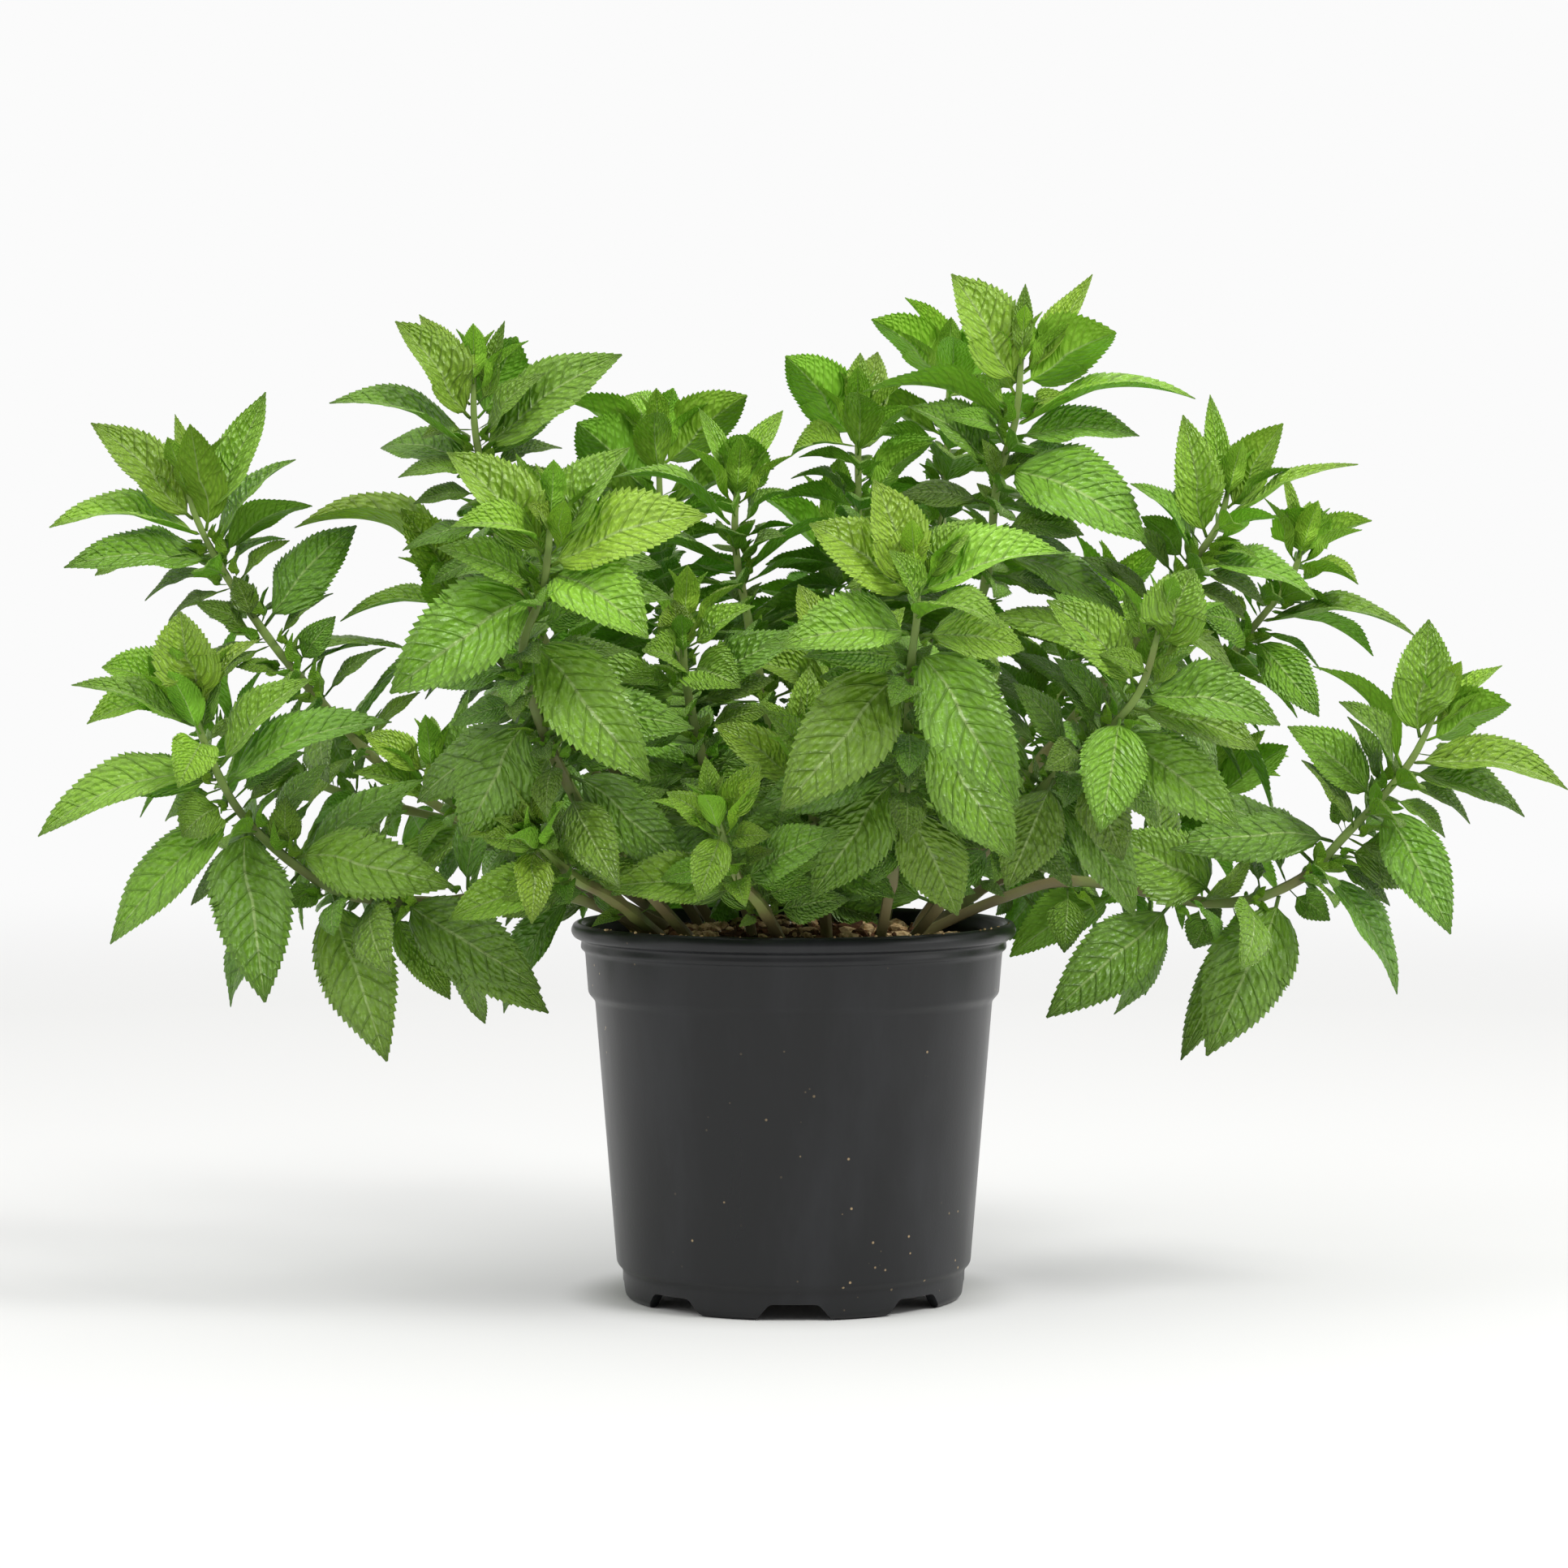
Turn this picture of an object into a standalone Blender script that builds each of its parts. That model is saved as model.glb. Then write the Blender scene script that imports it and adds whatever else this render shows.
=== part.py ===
"""Potted mint plant: a round nursery pot with potting soil and leafy mint stems.

Metres, +Z up. The origin is the middle of the pot's foot on the ground, and the plant's long side runs
along X. Pot, soil, stems and the largest leaves are separate bodies. Every stem carries its smaller leaves
as one body.
"""

import math

import bmesh
import bpy
from mathutils import Matrix, Vector
from mathutils.bvhtree import BVHTree

MM = 0.001

# Pot, in millimetres
POT_SCALE = 1.0  # the pot's radius against its stated profile
POT_STEPS = 40
FOOT_NOTCHES = 8
NOTCH_HEIGHT = 6.0
NOTCH_TOP = 18.0
NOTCH_FOOT = 28.0
DRAIN_RADIUS = 4.5
DRAIN_CIRCLE = 42.0
POT_PROFILE = (
    (0.0, 11.2), (62.0, 11.2), (64.2, 14.6), (72.0, 110.2), (74.5, 112.6), (76.2, 134.0), (77.6, 138.0),
    (79.8, 139.2), (81.7, 138.6), (82.7, 136.0), (81.6, 133.6), (78.6, 132.6), (79.1, 129.4), (77.4, 128.2),
    (76.2, 112.8), (73.7, 110.0), (65.8, 12.6), (63.6, 10.2), (63.3, 1.8), (61.8, 0.0), (58.6, 0.0), (58.6, 9.0),
    (0.0, 9.0),
)

# Soil, in millimetres
SOIL_EDGE = 128.6
SOIL_RISE = 10.0
SOIL_SIDE = ((75.2, 126.0), (74.0, 112.4), (71.6, 110.0), (63.8, 14.8), (61.6, 11.6), (0.0, 11.6))

# Plant, in millimetres
PLANT_SCALE = 1.0  # height and spread of the stems above the soil against the stated places
LEAF_SCALE = 1.0  # length and width of every leaf
LEAF_THICK = 1.0
LONGEST_LEAF = 66.0
STEM_THICK = 1.9  # half the side of the square stem at the soil
STEM_TIP = 0.9
NODE_HEIGHT = 2.4  # height of the joint that a pair of leaves grows from
NODE_GAP = 3.3
SHORTEST_LOOSE = 30.0
ROOT_HALF = 0.8  # half the side of a separate leaf's square root
GAP = 0.3
CLEARANCE = 0.55
PLANT_DEPTH = 163.0  # how far back a leaf with no place of its own may reach
BARE_FRONT = (98.0, 152.0)  # half width and top of the space before the pot that such a leaf keeps out of
DROOP = 0.0035  # how much further down such a leaf points for each millimetre from the stem's tip
MOST_NODES = 60

# Each stem from the soil to its tip
STEMS = {
    1: ((-45, 8, 134), (-100, 12, 163), (-148, 16, 191), (-184, 18, 228), (-208, 20, 260), (-222, 20, 285),
        (-228, 20, 303)),
    2: ((-46, -26, 134), (-79, -37, 150), (-105, -45, 151), (-140, -55, 150), (-167, -58, 156), (-195, -60, 179),
        (-209, -60, 204), (-216, -60, 226)),
    3: ((-30, 12, 134), (-70, 8, 200), (-105, 2, 270), (-117, 0, 316), (-118, 0, 343)),
    4: ((-35, -45, 134), (-75, -80, 185), (-94, -97, 235), (-87, -100, 262), (-84, -100, 290)),
    5: ((-15, 40, 134), (-35, 70, 200), (-50, 95, 270), (-53, 100, 324)),
    6: ((2, 20, 134), (-5, 25, 190), (-17, 29, 250), (-22, 30, 280), (-21, 30, 303)),
    7: ((30, -55, 134), (38, -90, 185), (40, -116, 235), (42, -120, 254), (41, -121, 270)),
    8: ((25, 10, 134), (50, 6, 200), (70, 2, 260), (75, 0, 300), (82, 0, 325), (84, 0, 350)),
    9: ((15, 35, 134), (22, 60, 210), (25, 78, 280), (25, 80, 332)),
    10: ((35, 48, 134), (50, 85, 220), (60, 115, 300), (62, 120, 353)),
    11: ((45, 12, 134), (85, 8, 190), (125, 3, 240), (147, 0, 271), (157, 0, 286), (161, 0, 301)),
    12: ((40, -44, 134), (80, -78, 184), (110, -98, 214), (121, -100, 229), (127, -101, 251)),
    13: ((48, 36, 134), (68, 46, 154), (100, 58, 178), (150, 72, 215), (179, 79, 248), (193, 80, 266), (198, 80, 281)),
    14: ((46, -14, 134), (75, -15, 148), (104, -17, 155), (155, -20, 147), (184, -20, 155), (202, -20, 172),
         (225, -20, 198), (236, -20, 221)),
    15: ((-15, -30, 134), (-30, -45, 190), (-39, -50, 230), (-39, -50, 254)),
    16: ((-4, -50, 134), (-12, -80, 151), (-20, -97, 162), (-27, -110, 184)),
    17: ((-46, -32, 134), (-64, -58, 151), (-78, -82, 161), (-91, -100, 176)),
    18: ((-55, -5, 134), (-98, -18, 170), (-128, -24, 186), (-132, -24, 200)),
    19: ((-44, 34, 134), (-72, 46, 152), (-112, 60, 168), (-180, 75, 185), (-225, 80, 208), (-240, 80, 224)),
    20: ((-35, 25, 134), (-80, 28, 200), (-118, 26, 245), (-126, 24, 268)),
    21: ((-30, 50, 134), (-70, 96, 190), (-98, 124, 238), (-106, 130, 262)),
    22: ((-2, 58, 134), (6, 98, 200), (14, 122, 262), (16, 127, 292)),
    23: ((22, 53, 134), (50, 74, 157), (85, 98, 195), (116, 114, 240), (126, 120, 262)),
    24: ((-10, 50, 134), (-19, 80, 153), (-34, 106, 165), (-46, 124, 178), (-50, 130, 205)),
    25: ((50, 22, 134), (80, 36, 153), (114, 52, 159), (152, 84, 168), (172, 100, 192)),
    26: ((12, -40, 134), (8, -68, 175), (2, -82, 208)),
    27: ((0, -2, 134), (18, -18, 200), (12, -30, 240)),
}
# Where a stem starts to carry leaves that have no place of their own below, measured back from its tip
LOOSE_FROM = {21: 2, 22: 2, 23: 2, 24: 2, 25: 2, 26: 2, 27: 2, 10: 2, 9: 8, 5: 8, 19: 2, 20: 2}
LOOSE_AT = (6, 16, 30, 50, 76, 106, 140)
LOOSE_LENGTH = (32, 38, 46, 52, 54, 50, 46)
LOOSE_LIFT = (28, 46, 62, 78, 90, 97, 102)

# Leaves with a place of their own, by stem: distance back from the stem's tip, the leaf tip's X, Y and Z,
# width, how far the upper side faces the front (+1) or the back (-1) rather than up (0), and how far the
# blade arches
LEAVES = {
    1: (
        (21, -277, 10, 285, 23, 0.3, 7), (32, -270, 0, 270, 23, 0.5, 5), (34, -179, 10, 293, 22, -0.3, 6),
        (63, -164, 24, 286, 26, 0.6, 6), (15, -262, 15, 324, 24, 0.5, 4), (17, -198, 25, 336, 20, 0.45, -3),
        (16, -223, 12, 323, 20, -0.9, 3), (13, -233, 28, 328, 9, 0.2, 2), (61, -223, 14, 257, 12, 0.6, 2),
        (60, -209, 15, 267, 12, 0.7, 2), (82, -171, 14, 252, 13, 0.8, 2), (84, -208, 12, 233, 11, 0.4, 2),
    ),
    2: (
        (1, -218, -65, 254, 26, 0.6, 4), (13, -256, -70, 228, 17, 0.4, 4), (1, -191, -55, 244, 15, 0.3, 3),
        (13, -221, -70, 233, 13, -0.7, 2), (16, -205, -60, 234, 16, 0.3, 2), (18, -217, -80, 192, 20, 0.9, 4),
        (30, -277, -65, 171, 26, 0.45, 8), (37, -142, -75, 215, 27, 0.5, 8), (53, -186, -85, 115, 33, 0.8, 6),
        (47, -246, -55, 134, 25, 0.6, 6), (44, -218, -52, 174, 22, 0.7, 4), (73, -120, -79, 157, 28, 0.75, 7),
        (92, -144, -78, 95, 32, 0.9, 6), (116, -90, -70, 120, 30, 0.85, 6), (116, -88, -55, 110, 26, 0.7, 5),
        (113, -124, -46, 114, 18, 0.6, 3), (69, -181, -64, 188, 14, 0.8, 2), (91, -181, -63, 149, 13, 0.6, 2),
    ),
    3: (
        (30, -170, -15, 330, 25, 0.3, 7), (30, -63, -10, 348, 30, 0.55, 5), (18, -146, -8, 360, 26, 0.5, 3),
        (13, -139, 10, 364, 16, 0.5, 2), (16, -102, -10, 355, 27, -0.8, 4), (13, -103, 6, 371, 13, 0.3, -2),
        (32, -155, 25, 315, 22, 0.5, 4), (33, -82, 20, 338, 22, 0.6, 4),
    ),
    4: (
        (16, -120, -105, 309, 27, 0.6, 4), (14, -117, -120, 283, 18, 0.35, 5), (12, -57, -97, 311, 22, 0.5, 3),
        (15, -97, -95, 309, 17, -0.4, 3), (15, -92, -108, 291, 13, 0.5, 2), (15, -78, -105, 293, 10, -0.5, 2),
        (18, -30, -112, 287, 34, 0.55, 6), (22, -50, -122, 245, 33, 0.6, 8), (32, -139, -115, 226, 36, 0.75, 7),
        (47, -43, -114, 188, 33, 0.85, 6), (75, -115, -97, 174, 34, 0.7, 5), (100, -37, -85, 163, 26, 0.7, 4),
        (40, -68, -105, 255, 14, 0.8, 2), (24, -118, -95, 266, 16, 0.4, 3),
    ),
    5: (
        (13, -18, 94, 338, 28, -0.6, 4), (9, -95, 95, 337, 22, -0.4, 5), (1, -47, 97, 341, 14, -0.5, 2),
        (0, -66, 110, 339, 18, 0.5, 2), (25, -84, 84, 327, 34, -0.8, 4),
    ),
    6: (
        (8, -18, 22, 320, 24, -1, 5), (7, -36, 35, 331, 10, 0.3, 2), (5, -4, 38, 330, 12, 0.4, 2),
        (17, -68, 25, 304, 18, 0.15, 8), (17, -1, 26, 299, 16, 0.3, 3), (28, -29, 16, 285, 18, 0.4, 3),
        (28, -3, 18, 282, 18, 0.4, 3),
    ),
    7: (
        (10, 5, -124, 284, 27, 0.65, 4), (8, 27, -116, 299, 24, 0.6, 3), (7, 62, -118, 286, 17, 0.5, 2),
        (11, 32, -128, 275, 15, 0.4, 2), (8, 91, -131, 274, 31, 0.6, 5), (13, 68, -166, 249, 20, 0.4, 6),
        (24, -5, -138, 242, 28, 0.6, 6), (37, -5, -130, 186, 35, 0.85, 6), (30, 76, -133, 188, 34, 0.85, 7),
        (56, 76, -104, 168, 30, 0.7, 5), (79, 6, -101, 155, 30, 0.75, 5), (87, 57, -96, 148, 28, 0.7, 4),
        (22, 79, -115, 241, 24, 0.6, 4), (36, -12, -116, 242, 22, 0.5, 4),
    ),
    8: (
        (12, 58, -3, 378, 30, 0.6, 3), (13, 68, -5, 377, 20, -0.5, 3), (13, 118, -12, 356, 30, -0.7, 5),
        (11, 111, 8, 379, 15, 0.3, -2), (10, 85, 4, 374, 9, 0.4, 1), (27, 25, -12, 334, 26, -0.15, 8),
        (26, 148, -5, 332, 30, 0.3, 9), (45, 42, -10, 329, 28, 0.5, 4), (47, 129, -18, 279, 38, 0.6, 10),
        (47, 69, -4, 317, 9, 0.6, 1), (47, 92, -4, 315, 9, 0.6, 1), (67, 107, -4, 282, 22, 0.5, 4),
    ),
    9: (
        (11, -3, 70, 352, 28, -0.6, 4), (2, 26, 83, 354, 12, 0.5, 2), (0, 33, 95, 355, 18, 0.3, 2),
        (11, 45, 76, 333, 14, -0.4, 2), (34, -1, 76, 305, 16, 0.15, 5), (15, -1, 88, 314, 20, 0.4, 4),
        (31, 54, 80, 319, 18, -0.5, 3),
    ),
    10: (
        (7, 31, 115, 369, 24, -0.5, 4), (5, 73, 115, 363, 24, -0.6, 3),
    ),
    11: (
        (22, 143, -8, 326, 21, 0.75, 3), (9, 154, 3, 334, 11, 0.4, 2), (9, 180, -6, 323, 20, -0.7, 3),
        (9, 208, -5, 308, 14, 0.2, 4), (21, 178, -12, 288, 13, -0.3, 4), (34, 129, 8, 289, 16, -0.5, 3),
    ),
    12: (
        (9, 138, -104, 269, 26, 0.8, 3), (10, 115, -98, 261, 12, 0.5, 2), (10, 145, -106, 247, 11, 0.4, 2),
        (15, 127, -106, 248, 11, -0.5, 2), (24, 87, -108, 258, 24, 0.6, 4), (19, 140, -95, 242, 16, 0.3, 2),
        (24, 167, -115, 215, 26, 0.55, 7), (37, 105, -117, 178, 27, 0.85, 5), (40, 154, -108, 179, 28, 0.8, 5),
        (70, 74, -95, 157, 26, 0.8, 5), (60, 115, -91, 167, 22, 0.7, 4),
    ),
    13: (
        (7, 200, 72, 294, 27, -0.9, 3), (7, 226, 90, 289, 20, -0.4, 3), (0, 190, 85, 310, 6, 0.3, 1),
        (16, 157, 70, 269, 20, 0.2, 5), (16, 218, 68, 264, 20, 0.2, 5), (35, 241, 74, 244, 20, 0.25, 8),
        (39, 165, 75, 258, 12, 0.5, 2), (43, 203, 68, 213, 22, 0.7, 4), (40, 157, 67, 252, 26, 0.7, 4),
    ),
    14: (
        (15, 232, -20, 251, 25, 0.5, 3), (15, 261, -28, 220, 24, -0.6, 4), (8, 261, -12, 234, 11, 0.4, 2),
        (28, 189, -25, 234, 19, -0.2, 8), (24, 282, -28, 189, 22, 0.45, 7), (44, 180, -25, 212, 24, 0.6, 4),
        (43, 238, -38, 137, 26, 0.75, 6), (65, 228, -12, 155, 24, 0.7, 4), (64, 134, -30, 168, 24, 0.6, 6),
        (62, 198, -22, 188, 8, 0.8, 1), (93, 149, -38, 91, 36, 0.85, 6), (99, 138, -15, 80, 20, 0.6, 4),
        (92, 196, -24, 141, 14, 0.8, 2), (132, 92, -31, 106, 29, 0.85, 5), (117, 116, -34, 173, 32, 0.8, 4),
        (153, 80, -8, 126, 24, -0.6, 4), (171, 99, -22, 129, 16, 0.9, 3), (132, 142, -22, 124, 10, 0.9, 2),
        (116, 147, -16, 130, 16, 0.7, 2),
    ),
    15: (
        (13, -43, -53, 258, 16, 0.7, 2), (13, -14, -54, 256, 15, 0.5, 2), (13, -40, -56, 253, 10, -0.5, 2),
        (16, -19, -65, 227, 24, 0.7, 4), (16, -54, -62, 240, 20, 0.6, 4),
    ),
    16: (
        (3, -44, -115, 192, 12, 0.8, 2), (3, -12, -109, 202, 14, 0.8, 2), (3, -33, -117, 155, 16, 0.9, 2),
        (3, -8, -115, 177, 11, 0.8, 2),
    ),
    17: (
        (1, -92, -99, 191, 13, 0.8, 2), (1, -108, -103, 175, 12, 0.7, 2), (1, -82, -104, 172, 10, 0.7, 2),
        (1, -91, -107, 146, 15, 0.9, 2),
    ),
    18: (
        (13, -161, -24, 195, 14, 0.5, 3), (5, -157, -22, 209, 15, 0.6, 3), (11, -133, -24, 199, 13, 0.7, 2),
    ),
    19: (
        (0, -268, 75, 232, 22, 0.6, 4), (0, -274, 75, 210, 20, 0.5, 4),
    ),
    20: (
        (0, -187, 20, 285, 27, 0.3, 13), (8, -146, 17, 292, 26, 0.6, 4), (5, -122, 12, 281, 16, -0.4, 3),
        (3, -171, 30, 250, 16, 0.3, 5),
    ),
}

YOUNG_GREEN = (0.16, 0.4, 0.05)
OLD_GREEN = (0.045, 0.17, 0.03)
STEM_GREEN = (0.15, 0.27, 0.06)
UP = Vector((0, 0, 1))
FRONT = Vector((0, -1, 0))
# Share of a leaf's length, and its half width there against the widest
SMALL_BLADE = ((0.40, 1.0),)
MIDDLE_BLADE = ((0.14, 0.12), (0.44, 1.0))
LARGE_BLADE = ((0.12, 0.10), (0.36, 0.96), (0.70, 0.74))
# What a leaf tries, in turn, until it is clear of the rest: nearer or farther, turned about its midrib,
# shorter
PLACED_TRIES = (
    (0, 0, 1.0), (-4, 0, 1.0), (4, 0, 1.0), (0, 15, 1.0), (0, -15, 1.0), (-8, 0, 1.0), (8, 0, 1.0), (-12, 0, 1.0),
    (12, 0, 1.0), (-6, 25, 1.0), (6, -25, 1.0), (0, 35, 0.95), (0, -35, 0.95), (-16, 0, 0.95), (16, 0, 0.95),
    (0, 0, 0.88), (-9, 15, 0.85), (9, -15, 0.85), (-18, 25, 0.85), (18, -25, 0.85), (0, 40, 0.75),
    (-10, -30, 0.75), (12, 20, 0.7), (0, 0, 0.65), (-8, 20, 0.55), (8, -20, 0.5), (0, 0, 0.4),
)
LOOSE_TRIES = (
    (0, 0, 1.0), (14, 0, 1.0), (-14, 0, 1.0), (0, 12, 1.0), (0, -12, 1.0), (26, 10, 0.9), (-26, 10, 0.9),
    (0, 20, 0.8), (20, -14, 0.8), (-20, -14, 0.8), (0, 0, 0.68), (30, 15, 0.6), (-30, 15, 0.6), (0, -15, 0.5),
)


def smooth_line(places, steps=10):
    """A Catmull-Rom line through the places."""
    knots = [places[0], *places, places[-1]]
    line = []
    for before, start, end, after in zip(knots, knots[1:], knots[2:], knots[3:]):
        for i in range(steps):
            t = i / steps
            line.append(
                0.5 * (2 * start + (end - before) * t + (2 * before - 5 * start + 4 * end - after) * t * t
                       + (3 * start - before - 3 * end + after) * t ** 3)
            )
    line.append(places[-1])
    return line


def soil_height(x, y):
    """Height of the soil's mound in millimetres."""
    share = min(1.0, math.hypot(x, y) / (75.0 * POT_SCALE))
    return SOIL_EDGE + SOIL_RISE * (1 - share * share)


def placed(x, y, z):
    """A place of the plant in metres: the part above the soil grows with PLANT_SCALE."""
    foot = SOIL_EDGE + SOIL_RISE
    reach = math.hypot(x, y)
    inside = min(1.0, 70.0 / reach) if reach else 1.0
    spread = PLANT_SCALE * (1 - inside) + inside * POT_SCALE if z < 160 else PLANT_SCALE
    return Vector((x * spread, y * spread, foot + (z - foot) * PLANT_SCALE)) * MM


class Blade:
    """One leaf: where it starts, where its tip is, and the rings of its diamond-shaped section between."""

    def __init__(self, root, out, tip, hint, width, arch, turn=0.0):
        self.root, self.out, self.tip, self.arch, self.width = root, out, tip, arch, width
        chord = tip - root
        self.length = chord.length
        self.along = chord.normalized()
        level = hint - self.along * hint.dot(self.along)
        if level.length < 0.05:
            level = self.out - self.along * self.out.dot(self.along)
        if level.length < 0.05:
            level = self.along.orthogonal()
        self.normal = level.normalized()
        side = self.normal.cross(self.along)
        angle = math.radians(turn)
        self.normal = self.normal * math.cos(angle) + side * math.sin(angle)

    def centre(self, t):
        bulge = 2.2 * MM * math.sin(math.pi * min(1.0, 2.2 * t))
        rise = self.normal * (4 * self.arch * t * (1 - t))
        return self.root + (self.tip - self.root) * t + rise + self.out * bulge

    def stations(self):
        if self.length > 42 * MM:
            return LARGE_BLADE
        return MIDDLE_BLADE if self.length > 27 * MM else SMALL_BLADE

    def ring(self, t, share, fat=0.0):
        """Four points: one edge, the back of the midrib, the other edge, the midrib."""
        ahead = (self.centre(min(1.0, t + 0.04)) - self.centre(t - 0.04)).normalized()
        normal = (self.normal - ahead * self.normal.dot(ahead)).normalized()
        side = normal.cross(ahead)
        half = max(0.7 * MM, 0.5 * self.width * share) + 0.5 * fat
        thick = 0.5 * LEAF_THICK * MM + fat
        lift = normal * (0.16 * half)
        middle = self.centre(t)
        left, right = middle - side * half + lift, middle + side * half + lift
        return [left, middle - normal * thick, right, middle + normal * thick]


def turned_to(root, ring):
    """The ring, started at the point that follows the root's first corner with the least twist."""
    middle = sum(root, Vector()) / 4
    centre = sum(ring, Vector()) / 4

    def strain(k):
        return sum(((root[i] - middle) - (ring[(i + k) % 4] - centre)).length for i in range(4))

    best = min(range(4), key=strain)
    return [ring[(i + best) % 4] for i in range(4)]


def tube(points, faces, root, rings, tip):
    """Adds the walls from a root ring of point numbers through the rings to the tip."""
    for ring in rings:
        ring = turned_to([points[i] for i in root], ring)
        first = len(points)
        points.extend(ring)
        ends = [first + i for i in range(4)]
        faces.extend([root[i], root[(i + 1) % 4], ends[(i + 1) % 4], ends[i]] for i in range(4))
        root = ends
    points.append(tip)
    faces.extend([root[i], root[(i + 1) % 4], len(points) - 1] for i in range(4))


class Stem:
    """A square stem from its tip down to the soil, with the joints that its leaves grow from."""

    def __init__(self, number, places):
        self.number = number
        line = [placed(*place) for place in places]
        foot = line[0]
        foot.z = soil_height(foot.x / MM, foot.y / MM) * MM + GAP * MM
        self.line = smooth_line(line)[::-1]
        self.reach = [0.0]
        for a, b in zip(self.line, self.line[1:]):
            self.reach.append(self.reach[-1] + (b - a).length)
        self.length = self.reach[-1]
        self.joints = {}  # distance from the tip: leaf by side
        self.sides = []
        turn = math.radians(0 if number <= 20 else 37 * number)
        side = Vector((math.cos(turn), math.sin(turn), 0))
        for i in range(len(self.line)):
            up = self.heading(i)
            side = (side - up * side.dot(up)).normalized()
            self.sides.append(side.copy())

    def heading(self, i):
        a = self.line[max(0, i - 1)]
        b = self.line[min(len(self.line) - 1, i + 1)]
        return (a - b).normalized()

    def at(self, s):
        """Point, direction towards the tip, and the first side's direction at s from the tip."""
        s = max(0.0, min(self.length, s))
        i = max(k for k in range(len(self.reach)) if self.reach[k] <= s + 1e-9)
        if i == len(self.line) - 1:
            return self.line[i], self.heading(i), self.sides[i]
        t = (s - self.reach[i]) / (self.reach[i + 1] - self.reach[i])
        up = self.heading(i).lerp(self.heading(i + 1), t).normalized()
        side = self.sides[i].lerp(self.sides[i + 1], t)
        side = (side - up * side.dot(up)).normalized()
        return self.line[i].lerp(self.line[i + 1], t), up, side

    def half(self, s):
        return (STEM_TIP + (STEM_THICK - STEM_TIP) * min(1.0, s / self.length * 1.4)) * MM

    def ways(self, s):
        """The four directions that the stem's sides look in."""
        point, up, side = self.at(s)
        other = up.cross(side)
        return point, up, (side, other, -side, -other)

    def corners(self, s):
        point, _, ways = self.ways(s)
        half = self.half(s)
        return [point + (ways[k] + ways[k - 1]) * half for k in range(4)]

    def seat(self, s, toward):
        """The joint and side nearest to s that a leaf heading this way can grow from, or None."""
        lowest = 0.5 * NODE_HEIGHT * MM + 0.5 * MM
        for step in (0, 1, -1, 2, -2, 3, -3, 4, -4, 5, -5, 6, -6, 7, -7, 8):
            at = min(max(s + step * 1.7 * MM, lowest), self.length - 8 * MM)
            near = [joint for joint in self.joints if abs(joint - at) < NODE_GAP * MM]
            if len(near) > 1:
                continue
            if near:
                at = near[0]
            used = self.joints.get(at, {})
            _, _, ways = self.ways(at)
            taken = {(k + step) % 4 for k in used for step in (-1, 0, 1)}
            free = [k for k in range(4) if k not in taken and ways[k].dot(toward) > 0.12]
            if free:
                return at, max(free, key=lambda k: ways[k].dot(toward))
        return None


class Leaf:
    """A leaf that has found its place."""

    def __init__(self, stem, joint, side, blade, tree, low, high):
        self.stem, self.joint, self.side, self.blade = stem, joint, side, blade
        self.tree, self.low, self.high = tree, low, high
        self.name = None


def tree_of(points, faces):
    """A search tree with the box around its points."""
    low = Vector([min(p[k] for p in points) for k in range(3)])
    high = Vector([max(p[k] for p in points) for k in range(3)])
    return BVHTree.FromPolygons([tuple(p) for p in points], faces), low, high


def before_pot(place):
    """Whether the place is where the pot's rim and its soil are seen from the front."""
    wide, high = BARE_FRONT
    return place.y < 0 and abs(place.x) < wide * POT_SCALE * MM and place.z < high * MM


def apart(low, high, other_low, other_high):
    return any(low[k] > other_high[k] or high[k] < other_low[k] for k in range(3))


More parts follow.
